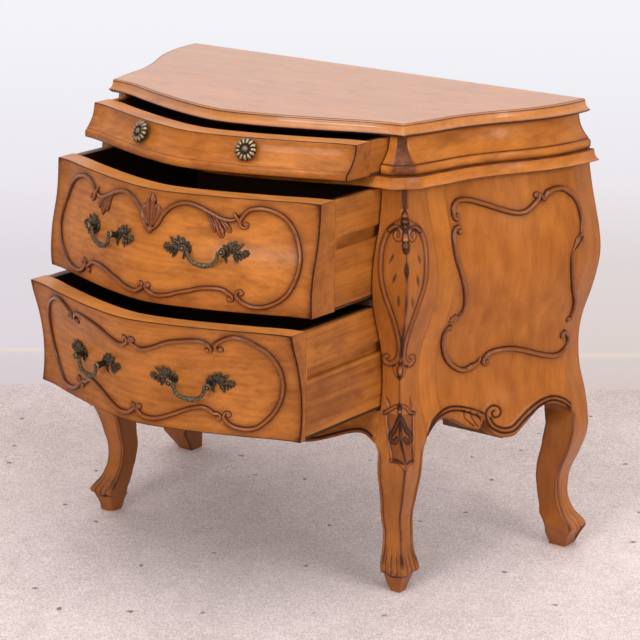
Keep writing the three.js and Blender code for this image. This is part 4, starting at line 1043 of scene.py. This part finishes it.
# Front apron: the serpentine rail under the bottom drawer, sawn and beaded along its lower edge like
# the side panels.
apron_top = height * 0.3878
apron_half = opening_half - glue_line
apron_thickness = 20
front_edge_shares = ((0, 0.306), (0.12, 0.309), (0.24, 0.312), (0.35, 0.311), (0.46, 0.309),
                     (0.54, 0.308), (0.65, 0.313), (0.76, 0.326), (0.84, 0.336), (0.92, 0.338),
                     (1, 0.322))
front_edge = smooth_curve(front_edge_shares)
front_finish = wood_finish("front_wood", (0.58, 0.2, 0.036, 1), (0.33, 0.1, 0.017, 1), "xzy", 130,
                           0.05, 1.1, 0.36, 0.16, 0.1, seed=4)


def body_front(x, z):
    return np.stack(np.broadcast_arrays(x, front_line(x) - front_out(z), z), -1)


x_columns = np.linspace(-apron_half, apron_half, 220)
apron_low = height * front_edge(np.abs(x_columns) / apron_half)
apron_z = np.array([bead_rows(low, apron_top, 16, 0.7, 22) for low in apron_low])
apron_x = np.repeat(x_columns[:, None], apron_z.shape[1], 1)
apron_chart = np.column_stack([apron_x.ravel(), apron_z.ravel()])
edge_line = np.column_stack([x_columns, apron_low])[::4]
apron_lift, apron_dark = edge_carving(apron_chart, edge_line, (edge_line + (0, 6.6),), ())
apron_outer, _ = on_face(body_front, apron_x.ravel(), apron_z.ravel(), apron_lift)
apron_back = front_line(x_columns) - front_out(apron_top) + apron_thickness
apron_inner = np.concatenate([[(x, y, low), (x, y, apron_top)]
                              for x, y, low in zip(x_columns, apron_back, apron_low)])
# The inner face is glazed flat and darker: painted shade inside the case.
apron_glaze = np.concatenate([np.clip(apron_dark + 0.1, 0, 1), np.full(len(apron_inner), 0.5)])
mesh = solid_mesh("front_apron_carved", np.concatenate([apron_outer, apron_inner]),
                  slab_faces(len(x_columns), apron_x.shape[1]), apron_glaze, 45)
settle(mesh, front_finish, "case", "case_wood", "front_apron")

# Boards inside the case: the back, the bottom, the rail between the drawers and the runners are plain sawn
# boards of a dull secondary wood. The back is darkened with age, and the others are painted nearly black, a
# painted shade inside the case. Their solids are right as they are.
shaded_board_finish = wood_finish("inside_wood", (0.07, 0.029, 0.011, 1), (0.028, 0.011, 0.004, 1), "yzx", 140,
                           0.04, 1.0, 0.68, 0.0, seed=9)
back_finish = wood_finish("back_wood", (0.33, 0.16, 0.06, 1), (0.16, 0.068, 0.024, 1), "xzy", 150, 0.03,
                          1.0, 0.72, 0.0, seed=13)


def refinish(node, finish):
    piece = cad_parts[node]
    for holder in piece.material_slots:
        holder.material = finish


drawers = ("top", "middle", "bottom")
refinish("back_panel", back_finish)
for node in ("bottom_board", "drawer_rail", *(f"{drawer}_runner_{side}" for drawer in drawers
                                              for side, _ in sides)):
    refinish(node, shaded_board_finish)

# Drawers: each is a thick shaped front with plain sides and back in a paler wood, grooved to hang on
# the runners, and a thin bottom nailed up underneath.


def shaded_inside(finish, half_width):
    """Paints the faces that look into a drawer nearly black: painted shade inside the drawer."""
    tree = finish.node_tree
    wire = Wire(tree)
    shader = next(node for node in tree.nodes if node.type == "BSDF_PRINCIPLED")
    color = Wire(tree, shader.inputs["Base Color"].links[0].from_socket)
    place = wire.make("ShaderNodeTexCoord", output=3)
    across = wire.math("ABSOLUTE", wire.make("ShaderNodeSeparateXYZ", None, {0: place}))
    inside = 1 - (across * 1000).rise(half_width - 1, half_width + 1)
    tree.links.new(inside.tint(color, (0.03, 0.011, 0.004, 1)).socket, shader.inputs["Base Color"])
    return finish


drawer_finish = wood_finish("drawer_wood", (0.46, 0.152, 0.024, 1), (0.24, 0.07, 0.011, 1), "yzx", 74,
                            0.06, 1.3, 0.5, 0.05, 0.2, seed=6)
drawer_inside = opening_half - 13
shaded_inside(drawer_finish, drawer_inside)
for drawer in drawers:
    for part in ("side_right", "side_left", "back"):
        refinish(f"{drawer}_drawer_{part}", drawer_finish)
    refinish(f"{drawer}_drawer_bottom", shaded_board_finish)

# Drawer fronts: shaped from thick stock, with the grain along them, eased edges and a dark arris. The
# two large ones carry the broken-scroll mouldings, and the middle one a carved shell.
reveal = 2
rail_thickness = 12
drawer_half = opening_half - 4
front_thickness = 40
front_ease = 2.4
top_strip_glaze = (-0.2, -0.25)
end_strip_glaze = (0.4, 0.24)
middle_share = 0.5013
drawer_room = body_top - apron_top - rail_thickness - 4 * reveal
middle_high = body_top - reveal
middle_low = middle_high - drawer_room * middle_share
bottom_high = middle_low - reveal - rail_thickness - reveal
bottom_low = apron_top + reveal


def eased_levels(low, high, count):
    """Even places from low to high, and closer ones on the eased edge at each end."""
    ease = np.linspace(0, front_ease, 5)
    return np.concatenate([low + ease[:-1], np.linspace(low + front_ease, high - front_ease, count),
                           high - ease[::-1][1:]])


def front_board(drawer, face, low, high, lines, levels, shade=1.0):
    """A drawer's front board: its carved outer face, and a plain inner face that follows its bow."""
    x = eased_levels(0, 2 * drawer_half, 250) - drawer_half
    xx, zz = [grid.ravel() for grid in np.meshgrid(x, levels, indexing="ij")]
    chart = np.column_stack([xx, zz])
    away_x = drawer_half - np.abs(xx)
    away_z = np.minimum(zz - low, high - zz)
    lift = np.zeros(len(xx))
    for away in (away_x, away_z):
        short = below(away, front_ease, front_ease)
        lift -= front_ease * (1 - np.sqrt(1 - short ** 2 * 0.97)) * 0.6
    # A dark line along each arris; scaled by shade, a broader darkening towards the edges is painted shade.
    dark = 0.8 * bell(away_x, 1.6) + 0.75 * bell(away_z, 1.3) + shade * (
        0.14 * bell(away_z, 9) + 0.34 * bell(away_x, 9)
        + 0.1 * bell(away_z, 34) + 0.16 * bell(away_x, 60))
    # Painted shade on the ground beside each strand.
    for line in lines:
        for hand in (1, -1):
            dark += strand_shadow(chart, line * (hand, 1))
    outer, _ = on_face(face, xx, zz, lift)
    back = face(x, np.full(len(x), high))[:, 1] + front_thickness
    rows = len(levels)
    inner = np.column_stack([np.repeat(x, rows), np.repeat(back, rows), np.tile(levels, len(x))])
    # The inner face, which looks into the drawer, is glazed flat and darker: painted shade.
    glaze = np.concatenate([np.clip(dark, 0, 1), np.full(len(inner), 0.55)])
    faces = slab_faces(len(x), rows, rows)
    grid = (len(x) - 1) * (rows - 1)
    ends = grid + (len(x) - 1) * (rows + 1)
    trims = [(range(grid + 1, ends, rows + 1), 1.2, *top_strip_glaze),
             (range(ends, ends + rows - 1), 1.3, *end_strip_glaze),
             (range(ends + rows - 1, len(faces)), 1.3, *end_strip_glaze)]
    mesh = solid_mesh(f"{drawer}_front_carved", np.concatenate([outer, inner]), faces, glaze, 42, trims)
    settle(mesh, front_finish, f"{drawer}_drawer", "front_wood", f"{drawer}_drawer_front")


openings = {"top": 90, "middle": 166, "bottom": 224}


def drawer_face(opening):
    """The face of a drawer that stands open so far."""
    return lambda x, z: body_front(x, z) - (0, opening, 0)


scrolls = {
    "middle": (
        (((11, 646), (18, 650), (25, 660), (32, 673), (46, 688), (62, 696), (76, 697), (92, 693),
          (110, 685), (127, 677), (141, 675), (153, 679)), None, None),
        (((158, 679), (168, 693), (183, 698), (198, 698), (217, 692), (233, 680), (245, 661),
          (254, 639), (259, 618), (258, 597), (249, 571), (237, 555), (221, 544), (205, 538),
          (189, 537), (175, 542), (164, 551)), (166, 670), (171, 558)),
        (((151, 556), (141, 562), (124, 563), (104, 560), (86, 554), (68, 549), (53, 543), (36, 540),
          (25, 541), (13, 549)), (152, 547), (18, 554))),
    "bottom": (
        (((13, 464), (24, 456), (37, 456), (57, 464), (80, 475), (104, 481), (126, 484), (141, 482),
          (148, 474)), (18, 470), (142, 469)),
        (((158, 481), (171, 490), (185, 496), (200, 496), (216, 490), (231, 480), (243, 466), (252, 447),
          (255, 425), (253, 403), (246, 381), (237, 364), (225, 349), (211, 337), (196, 333), (180, 334),
          (167, 339), (158, 348)), (164, 473), (165, 354)),
        (((142, 354), (130, 362), (119, 363), (102, 358), (84, 349), (61, 338), (43, 333), (25, 334),
          (13, 342)), (148, 347), (17, 348))),
}
bounds_of = {"middle": (middle_low, middle_high), "bottom": (bottom_low, bottom_high)}
gather_most, gather_reach = 10, 150


def gather(x):
    """Draws a strand in towards the middle of the drawer, the more the nearer it starts."""
    return x - gather_most * max(1 - x / gather_reach, 0)


for drawer, strands in scrolls.items():
    face = drawer_face(openings[drawer])
    carving = Carving()
    for hand in (1, -1):
        for points, start, end in strands:
            turned = [(hand * gather(x), z) for x, z in points]
            ends = [None if eye is None else (hand * gather(eye[0]), eye[1]) for eye in (start, end)]
            carving.strand(face, turned, ends[0], ends[1])
        if drawer == "middle":
            for points, width in ((((hand * 107, 689), (hand * 119, 671), (hand * 131, 645)), 14),
                                  (((hand * 98, 691), (hand * 109, 674), (hand * 117, 653)), 11),
                                  (((hand * 116, 685), (hand * 130, 671), (hand * 144, 655)), 11)):
                carving.leaf(face, points, width, 5, True)
            carving.leaf(face, ((hand * 146, 690), (hand * 151, 680), (hand * 160, 668)), 7, 5)
    if drawer == "middle":
        for foot, middle, tip, width, rise in (((-4, 652), (-14, 664), (-23, 683), 13, 4.5),
                                               ((4, 652), (14, 664), (23, 683), 13, 4.5),
                                               ((-2, 650), (-9, 667), (-13, 690), 16, 6),
                                               ((2, 650), (9, 667), (13, 690), 16, 6),
                                               ((0, 646), (0, 675), (0, 708), 20, 8)):
            carving.leaf(face, (foot, middle, tip), width, rise, True)
        carving.add(button(face, 0, 646, 6, 5))
    low, high = bounds_of[drawer]
    front_board(drawer, face, low, high, [line for line in carving.lines if line[:, 0].mean() > 0],
                eased_levels(low, high, 84))
    settle(carving.mesh(f"{drawer}_scrolls"), carved_finish, f"{drawer}_drawer", "carved_wood",
           f"{drawer}_drawer_cartouche")


def frieze_front(x, z):
    out = frieze_swell * frieze_out((z - waist_top) / frieze_height)
    return np.stack(np.broadcast_arrays(x, front_line(x) - out - openings["top"], z), -1)


top_low, top_high = waist_top + reveal, top_under - reveal
frieze_levels = np.array([waist_top + level * frieze_height for level, _, _ in frieze_profile])
frieze_levels = frieze_levels[(frieze_levels > top_low + 1) & (frieze_levels < top_high - 1)][::-1]
top_levels = np.unique(np.concatenate([[top_low, top_low + 0.6], frieze_levels,
                                       np.linspace(top_low + 1.5, top_high - 1.5, 40),
                                       [top_high - 0.6, top_high]]))
front_board("top", frieze_front, top_low, top_high, [], top_levels, 0.6)

# Brass pulls: a swan-neck bail hangs between two bosses, each with a plate cast as a spray of
# leaves. The brass is aged nearly black, and rubbed lighter on the high spots.
pull_spacing = 64
pull_offset = 106
pull_stand_off = 17


def brass_finish(name):
    material, wire, xyz = start_material(name)
    grime = wire.noise(xyz[0] / 3.2, xyz[1] / 3.2, xyz[2] / 3.2, 4.0, 0.6)
    pits = wire.noise(xyz[0] / 0.9, xyz[1] / 0.9, xyz[2] / 0.9, 3.0, 0.6)
    glaze = wire.glaze()
    rubbed = ((grime - 0.5) * 1.5 + 0.22 - glaze * 0.85).held()
    color = rubbed.tint((0.026, 0.017, 0.01, 1), (0.46, 0.34, 0.2, 1))
    color = (pits.rise(0.5, 0.72) * 0.35).tint(color, (0.035, 0.026, 0.018, 1))
    normal = wire.bump(0.45, 0.0005, grime * 0.6 + pits * 0.4)
    end_material(wire, color, 0.58 - rubbed * 0.28, normal, 0.0, 0.35 + rubbed * 0.6, 0.3)
    return material


brass = brass_finish("aged_brass")


def leaf_template():
    """One domed leaf with a vein, a unit long and a unit wide, closed underneath."""
    rows, columns = 9, 8
    points, glaze = [], []
    for k in range(rows):
        t = k / (rows - 1)
        half = 0.5 * (0.16 + 0.84 * math.sin(math.pi * t ** 0.75) ** 0.8) * (1 if k < rows - 1 else 0.3)
        across = [-1, -0.6, -0.18, 0, 0.18, 0.6, 1]
        up = [0, 0.2, 0.25, 0.12, 0.25, 0.2, 0]
        bend = 0.18 * math.sin(math.pi * t)
        points += [(t, a * half, (u + bend) * math.sin(math.pi * min(t + 0.12, 1)) ** 0.5)
                   for a, u in zip(across, up)]
        points.append((t, 0, -0.12))
        glaze += [0.7, 0.1, 0.0, 0.8, 0.0, 0.1, 0.7, 1]
    mesh = glazed_mesh("leaf_template", points, rings_faces(rows, columns), glaze)
    shell = bmesh.new()
    shell.from_mesh(mesh)
    bmesh.ops.recalc_face_normals(shell, faces=shell.faces)
    shell.to_mesh(mesh)
    shell.free()
    mesh.shade_smooth()
    return link_data("leaf_template", mesh)


def start_tree(name, *inputs):
    """A new Geometry Nodes tree, its empty start, and the wires of its inputs."""
    tree = bpy.data.node_groups.new(name, "GeometryNodeTree")
    for label, kind in (("Geometry", "Geometry"), *inputs, ("Metal", "Material")):
        tree.interface.new_socket(label, in_out="INPUT", socket_type=f"NodeSocket{kind}")
    tree.interface.new_socket("Geometry", in_out="OUTPUT", socket_type="NodeSocketGeometry")
    wire = Wire(tree)
    return tree, wire, wire.make("NodeGroupInput", output=(0, 1, 2, 3))


def spray_tree():
    """Sets one leaf on every point, turned and stretched by the point's own values."""
    tree, wire, (base, leaf, size, metal) = start_tree("leaf_spray", ("Leaf", "Object"),
                                                       ("Size", "Float"))
    turn = wire.make("GeometryNodeInputNamedAttribute", {"data_type": "FLOAT_VECTOR"}, {"Name": "turn"})
    stretch = wire.make("GeometryNodeInputNamedAttribute", {"data_type": "FLOAT_VECTOR"},
                        {"Name": "stretch"})
    shape = wire.make("GeometryNodeObjectInfo", None, {"Object": leaf}, output=4)
    scale = wire.make("ShaderNodeVectorMath", {"operation": "SCALE"}, {0: stretch, "Scale": size})
    spray = wire.make("GeometryNodeInstanceOnPoints", None, {
        "Points": base, "Instance": shape, "Rotation": turn, "Scale": scale})
    spray = wire.make("GeometryNodeRealizeInstances", None, {0: spray})
    spray = wire.make("GeometryNodeSetMaterial", None, {"Geometry": spray, "Material": metal})
    wire.make("NodeGroupOutput", None, {0: spray}, output=())
    return tree


leaf_object = leaf_template()
spray = spray_tree()


def set_inputs(modifier, values):
    for item in modifier.node_group.interface.items_tree:
        if item.item_type == "SOCKET" and item.in_out == "INPUT" and item.name in values:
            modifier[item.identifier] = values[item.name]


def grown(name, points, vectors, tree, values):
    """The plain mesh that a node tree makes from points with the named values on them."""
    mesh = bpy.data.meshes.new(name)
    edges = [(i, i + 1) for i in range(len(points) - 1)] if "Radius" in values else []
    mesh.from_pydata([tuple(p) for p in points], edges, [])
    for label, data in vectors.items():
        kind = "FLOAT_VECTOR" if np.ndim(data) == 2 else "FLOAT"
        layer = mesh.attributes.new(label, kind, "POINT")
        layer.data.foreach_set("vector" if kind == "FLOAT_VECTOR" else "value",
                               np.asarray(data, np.float32).ravel())
    seed = link_data(name, mesh)
    modifier = seed.modifiers.new("grow", "NODES")
    modifier.node_group = tree
    set_inputs(modifier, values)
    bpy.context.view_layer.update()
    made = bpy.data.meshes.new_from_object(seed.evaluated_get(bpy.context.evaluated_depsgraph_get()))
    seed.modifiers.remove(modifier)
    bpy.data.objects.remove(seed)
    made.name = name
    return made


def bail_tree():
    """A round bar along a line, whose thickness follows the line's own radius value."""
    tree, wire, (base, radius, corners, metal) = start_tree("bail_bar", ("Radius", "Float"),
                                                            ("Corners", "Int"))
    line = wire.make("GeometryNodeMeshToCurve", None, {0: base})
    thick = wire.make("GeometryNodeInputNamedAttribute", {"data_type": "FLOAT"}, {"Name": "thick"})
    ring = wire.make("GeometryNodeCurvePrimitiveCircle", None, {"Resolution": corners, "Radius": radius})
    bar = wire.make("GeometryNodeCurveToMesh", None, {
        "Curve": line, "Profile Curve": ring, "Scale": thick, "Fill Caps": True})
    bar = wire.make("GeometryNodeSetShadeSmooth", None, {"Geometry": bar})
    bar = wire.make("GeometryNodeSetMaterial", None, {"Geometry": bar, "Material": metal})
    wire.make("NodeGroupOutput", None, {0: bar}, output=())
    return tree


bail_nodes = bail_tree()
plate_leaves = ((5, 4, -4, 13, 8), (6, 4, 8.5, 20, 9), (8, 4, 19.5, 22, 9), (12, 3, 33, 18, 9),
                (7, 3, 14, 17, 8), (10, 3, 25, 14, 8), (9, 1, 37, 3, 7), (17, 1, 24, -16, 8),
                (25, 0, 30, -11, 6), (32, 1, 35, -8, 6), (1, -3, 5, -18, 5), (2, 0, -8, -1, 7),
                (0, 4, -9, 6, 6))
flower_leaves = [(37, 2, 37 + 7 * math.cos(turn), 2 + 7 * math.sin(turn), 5.5)
                 for turn in np.arange(6) * math.pi / 3]


def face_axes(face, u, v):
    """The place, the level way along, the way up and the way out of a face."""
    at, normal = on_face(face, np.array([u]), np.array([v]), np.array([0.0]))
    normal = Vector(normal[0])
    along = Vector((0, 0, 1)).cross(normal).normalized()
    return Vector(at[0]), along, normal.cross(along), normal


def placed(mesh, at, along, rise, out):
    """Puts a mesh drawn flat in millimetres on its place in the model's frame."""
    turn = Matrix((along, rise, out)).transposed().to_4x4()
    spot = Vector(at) / 1000 + Vector((0, back_edge, 0))
    mesh.transform(Matrix.Translation(spot) @ turn @ Matrix.Scale(0.001, 4))
    return mesh


def lathe(profile, columns=24, petals=0):
    """A turned shape: rings of radius, height and glaze, and how deep the gaps between petals are."""
    angle = np.linspace(0, 2 * math.pi, columns, endpoint=False)
    gap = 1 - np.sqrt(np.abs(np.cos(angle * petals / 2)))
    points, glaze = [], []
    for radius, level, dark, *wave in profile:
        cut = gap * sum(wave)
        across = radius * (1 - 0.1 * cut)
        points.append(np.stack([across * np.cos(angle), across * np.sin(angle), level - 2.6 * cut], -1))
        glaze.append(np.clip(dark + 1.9 * cut, -1, 1))
    return glazed_mesh("turned", np.concatenate(points), rings_faces(len(profile), columns),
                       np.concatenate(glaze))


def welded(name, meshes):
    """Several meshes as one, each shell with its faces outwards."""
    whole = bmesh.new()
    for mesh in meshes:
        whole.from_mesh(mesh)
    bmesh.ops.recalc_face_normals(whole, faces=whole.faces)
    mesh = bpy.data.meshes.new(name)
    whole.to_mesh(mesh)
    whole.free()
    mesh.shade_smooth()
    mesh.set_sharp_from_angle(angle=math.radians(50))
    return mesh


boss_profile = ((3.4, 1, 1), (4.6, 3.5, 0.8), (5, 8, 0.6), (5.2, 13, 0.5), (5.8, 16, 0.4),
                (6.1, 19, 0.2), (5.9, 21, -0.3), (5.1, 22.4, -0.4), (4.2, 22.2, 0.3), (3.4, 21.6, 1),
                (2.6, 21.8, 0.9), (1.9, 23, -0.2), (0.6, 23.6, -0.3))
bail_line = ((-26, 0), (-27.2, -3.5), (-26.4, -9), (-24.4, -14.5), (-20.5, -19.5), (-15, -23),
             (-8.5, -24.4), (0, -25.4), (8.5, -24.4), (15, -23), (20.5, -19.5), (24.4, -14.5), (26.4, -9),
             (27.2, -3.5), (26, 0))
bail_radius = 3.5
pin_radius = 2.0
pin_start, pin_end = 26, 31.2
pull_shares = {"middle": 0.52, "bottom": 0.47}
for drawer, pull_share in pull_shares.items():
    low, high = bounds_of[drawer]
    level = low + pull_share * (high - low)
    face = drawer_face(openings[drawer])
    for side, hand in sides:
        middle_u = hand * pull_offset
        for end, way in sides:
            at, along, rise, out = face_axes(face, middle_u + way * pull_spacing / 2, level)
            spread = [(way * u, v, way * (tip_u - u), tip_v - v, width)
                      for u, v, tip_u, tip_v, width in (*plate_leaves, *flower_leaves)]
            starts = [(u, v, 1.0) for u, v, *_ in spread]
            turns = [(0.12 * (k % 3 - 1), -0.08, math.atan2(up, over))
                     for k, (_, _, over, up, _) in enumerate(spread)]
            sizes = [(math.hypot(over, up), width, 8 + (k * 5) % 3)
                     for k, (_, _, over, up, width) in enumerate(spread)]
            leaves = grown("plate_leaves", starts, {"turn": turns, "stretch": sizes}, spray,
                           {"Leaf": leaf_object, "Size": 1.0, "Metal": brass})
            boss = lathe(boss_profile)
            seat = lathe(((8.2, 0.2, 1), (8.8, 1.6, 0.6), (7.8, 3.4, 0.2), (5, 4.4, 0.5), (3, 4.6, 1)))
            heart = lathe(((2.6, 0.4, 1), (2.6, 2.6, 0.6), (1.8, 3.9, 0), (0.5, 4.2, 0)), 12)
            heart.transform(Matrix.Translation((way * 37, 2, 0)))
            parts = [placed(mesh, at, along, rise, out) for mesh in (leaves, boss, seat, heart)]
            settle(welded(f"{drawer}_plate_{side}_{end}", parts), brass, f"{drawer}_drawer", "aged_brass",
                   f"{drawer}_pull_{side}_plate_{end}")
        ends = [on_face(face, np.array([middle_u + way * pull_spacing / 2]), np.array([level]),
                        np.array([float(pull_stand_off)]))[0][0] for way in (-1, 1)]
        along = Vector(ends[1] - ends[0]).normalized()
        out = Vector((along.y, -along.x, 0)).normalized()
        path = drawn(bail_line, 0.9)
        share = np.linspace(-1, 1, len(path))
        thick = 0.85 + 0.2 * np.clip((1 - np.abs(share)) * 3, 0, 1) + 0.38 * bell(share, 0.2)
        thick += 0.12 * bell(np.abs(share) - 0.36, 0.035) - 0.1 * bell(np.abs(share) - 0.3, 0.03)
        points = np.column_stack([path[:, 0], path[:, 1], np.zeros(len(path))])
        bars = [grown("bail_bar", points, {"thick": thick}, bail_nodes,
                      {"Radius": bail_radius, "Corners": 14, "Metal": brass})]
        bars += [grown("bail_pin", ((first, 0, 0), (last, 0, 0)), {"thick": (1.0, 1.0)}, bail_nodes,
                       {"Radius": pin_radius, "Corners": 12, "Metal": brass})
                 for first, last in ((-pin_end, -pin_start), (pin_start, pin_end))]
        middle = Vector(ends[0] + ends[1]) / 2
        parts = [placed(mesh, middle, along, Vector((0, 0, 1)), out) for mesh in bars]
        settle(welded(f"{drawer}_bail_{side}_cast", parts), brass, f"{drawer}_bail_{side}", "aged_brass",
               f"{drawer}_bail_{side}")

# Brass knobs: two small daisies on the top drawer, each cast with a ring of petals round a domed
# heart, on a short turned stem.
knob_offset = 111
knob_level = waist_top + 0.61 * frieze_height
petal_count = 13
knob_profile = ((4.4, -1, 1), (4.4, 5, 1), (8, 6.5, 0.9), (15, 8, 0.8), (18.5, 9.4, 0.8, 0.6),
                (19.8, 11.2, 0.5, 1), (19.6, 13.2, -0.3, 1), (17.6, 15.6, -0.8, 1), (14.6, 17.2, -0.95, 1),
                (11.6, 17.6, -0.8, 1), (9.6, 17, 0, 0.8), (8.2, 15.6, 1, 0.2), (6.6, 15.2, 1),
                (5.8, 16, 0.5), (5.3, 17.3, 0), (4, 18.7, -0.3), (2.2, 19.7, -0.4), (0.6, 20, -0.4))
for side, hand in sides:
    at, along, rise, out = face_axes(frieze_front, hand * knob_offset, knob_level)
    heart = placed(lathe(knob_profile, 8 * petal_count, petal_count), at, along, rise, out)
    settle(welded(f"knob_{side}_cast", [heart]), brass, "top_drawer", "aged_brass", f"knob_{side}")
bpy.data.objects.remove(leaf_object)

# Room: a worn pale concrete floor and a white wall with a low base, square to the camera and well
# behind the chest. Neither is part of the chest.
camera_place = Vector((2.6797, -3.4639, 1.6861))
azimuth = math.radians(36.289)
elevation = math.radians(16.090)
roll = math.radians(0.549)
focal_pixels = 2569.3
frame_pixels = 640
sensor_width = 36


def camera_plan(x, y):
    """The plan turned to the camera: the way to its right, and the way it looks."""
    return (x * math.cos(azimuth) + y * math.sin(azimuth),
            y * math.cos(azimuth) - x * math.sin(azimuth))


def floor_finish():
    material, wire, xyz = start_material("pale_concrete")
    u, v = camera_plan(xyz[0], xyz[1])
    clouds = wire.noise(u / 420, v / 420, 0.0, 3.0, 0.5)
    blots = wire.noise(u / 40, v / 60, 0.3, 5.0, 0.7)
    streaks = wire.noise(u / 44, v / 6, 5.0, 4.0, 0.7)
    fine = wire.noise(u / 3.2, v / 7, 0.7, 3.0, 0.75)
    scratch = wire.noise(u / 240, v / 5, 3.0, 2.0).rise(0.7, 0.73) * blots.rise(0.45, 0.6)
    ragged = wire.noise(u / 9, v / 14, 6.0, 3.0, 0.6)
    cells = wire.make("ShaderNodeTexVoronoi", {"voronoi_dimensions": "2D"}, {
        "Vector": wire.vector(u / 150, v / 150, 0.0), "Scale": 1.0}, output=(0, 1))
    size = wire.make("ShaderNodeSeparateXYZ", None, {0: cells[1]})
    chips = 1 - (cells[0] + (ragged - 0.5) * 0.16).rise(0.018, 0.04) - (1 - size.rise(0.3, 0.5))
    chips = chips.held()
    value = ((clouds - 0.5) * 0.7 + (blots - 0.5) * 0.55 + (streaks - 0.5) * 0.7 + (fine - 0.5) * 2.2
             + 0.6).held()
    color = value.tint((0.47, 0.392, 0.375, 1), (0.95, 0.84, 0.845, 1))
    color = (scratch * 0.35).tint(color, (0.2, 0.13, 0.11, 1))
    color = (chips * 0.8).tint(color, (0.13, 0.085, 0.07, 1))
    normal = wire.bump(0.3, 0.001, blots * 0.5 + fine * 0.4 - scratch - chips)
    end_material(wire, color, 0.6 + (clouds - 0.5) * 0.2, normal, 0.0, 0.0, 0.3)
    return material


def wall_finish(name, stops, right_tint):
    """White paint, which shows the room's falling light to the camera and in reflections. The wall has
    one side, and is open to a view from outside the room."""
    material, wire, xyz = start_material(name)
    across, _ = camera_plan(xyz[0], xyz[1])
    fine = wire.noise(xyz[0] / 3, xyz[1] / 3, xyz[2] / 3, 2.0)
    normal = wire.bump(0.1, 0.0005, fine)
    paint = wire.make("ShaderNodeBsdfPrincipled", None, {
        "Base Color": (0.86, 0.84, 0.84, 1), "Roughness": 0.6, "Normal": normal})
    shown = wire.make("ShaderNodeValToRGB", {"stops": stops}, {0: xyz[2] / 1000})
    low_right = across.rise(-900, 700) * (1 - (xyz[2] / 520).held())
    tinted = wire.make("ShaderNodeMix", {"data_type": "RGBA", "blend_type": "MULTIPLY"},
                       {0: 1.0, 6: shown, 7: right_tint}, output=2)
    shown = low_right.tint(shown, tinted)
    glow = wire.make("ShaderNodeEmission", None, {"Color": shown, "Strength": 1.0})
    to_camera, glossy, through = wire.make("ShaderNodeLightPath", output=(0, 3, 6))
    seen = (to_camera + glossy + through).held()
    wall = wire.make("ShaderNodeMixShader", None, {0: seen, 1: paint, 2: glow})
    outside = wire.make("ShaderNodeNewGeometry", output=6) * to_camera
    wall = wire.make("ShaderNodeMixShader", None, {
        0: outside, 1: wall, 2: wire.make("ShaderNodeBsdfTransparent")})
    wire.make("ShaderNodeOutputMaterial", None, {0: wall}, output=())
    return material


def stage_mesh(name, points, faces, finish):
    mesh = bpy.data.meshes.new(name)
    mesh.from_pydata(points, [], faces)
    piece = link_mesh(mesh, finish)


ahead = Vector((-math.sin(azimuth), math.cos(azimuth), 0))
right = Vector((math.cos(azimuth), math.sin(azimuth), 0))
ground = Vector((camera_place.x, camera_place.y, 0))


wall_half = 16


def upright(name, distance, low, high, finish):
    middle = ground + ahead * distance
    ends = [middle + right * wall_half * k for k in (-1, 1)]
    points = [ends[0] + Vector((0, 0, low)), ends[1] + Vector((0, 0, low)),
              ends[1] + Vector((0, 0, high)), ends[0] + Vector((0, 0, high))]
    stage_mesh(name, points, [(0, 1, 2, 3)], finish)


floor_half = 18
floor_corners = [(x * floor_half, y * floor_half, 0) for x, y in ((-1, -1), (1, -1), (1, 1), (-1, 1))]
stage_mesh("floor", floor_corners, [(0, 1, 2, 3)], floor_finish())
wall_distance = 5.32
base_height = 0.083
wall_stops = ((0.09, (0.74, 0.68, 0.735, 1)), (0.285, (0.75, 0.71, 0.76, 1)),
              (0.46, (0.84, 0.81, 0.86, 1)), (0.633, (0.87, 0.86, 0.9, 1)),
              (0.8, (0.9, 0.895, 0.94, 1)))
base_stops = ((0, (0.68, 0.6, 0.63, 1)), (0.07, (0.7, 0.64, 0.67, 1)), (0.076, (0.78, 0.69, 0.66, 1)),
              (0.083, (0.79, 0.7, 0.66, 1)))
upright("wall", wall_distance + 0.02, 0, 5, wall_finish("white_wall", wall_stops, (0.98, 0.92, 0.79, 1)))
upright("wall_base", wall_distance, 0, base_height,
        wall_finish("white_base", base_stops, (1, 0.96, 0.88, 1)))

# Light and camera: broad soft light from the front, the right and above, as in a photographer's room,
# and the camera where the photograph was taken from.
world = bpy.data.worlds.new("room_light")
bpy.context.scene.world = world
world.use_nodes = True
world.node_tree.nodes["Background"].inputs[0].default_value = (1.0, 0.97, 0.94, 1)
world.node_tree.nodes["Background"].inputs[1].default_value = 0.32


def lamp(name, place, target, size, power, color):
    light = bpy.data.lights.new(name, "AREA")
    light.shape = "RECTANGLE"
    light.size, light.size_y = size
    light.energy = power
    light.color = color
    holder = link_data(name, light)
    holder.location = place
    holder.rotation_euler = (Vector(target) - Vector(place)).to_track_quat("-Z", "Y").to_euler()


lamp("window_front", (0.75, -4.75, 2.4), (0, 0, 0.45), (1.8, 1.5), 86, (1.0, 0.97, 0.94))
lamp("ceiling", (0.6, -1.0, 3.4), (0.1, 0, 0.4), (3.0, 3.0), 62, (1.0, 0.98, 0.97))
lamp("window_right", (3.8, -0.6, 2.0), (0.2, 0, 0.4), (2.0, 1.8), 62, (1.0, 0.98, 0.96))

camera = link_data("camera", bpy.data.cameras.new("camera"))
bpy.context.scene.camera = camera
camera.data.sensor_width = sensor_width
camera.data.lens = focal_pixels * sensor_width / frame_pixels
camera.data.clip_start, camera.data.clip_end = 0.1, 60
back_way = Vector((math.sin(azimuth) * math.cos(elevation), -math.cos(azimuth) * math.cos(elevation),
                   math.sin(elevation)))
up_way = back_way.cross(right)
right_way = right * math.cos(roll) + up_way * math.sin(roll)
up_way = up_way * math.cos(roll) - right * math.sin(roll)
camera.matrix_world = Matrix.Translation(camera_place) @ Matrix(
    (right_way, up_way, back_way)).transposed().to_4x4()

bpy.context.scene.view_settings.view_transform = "Standard"
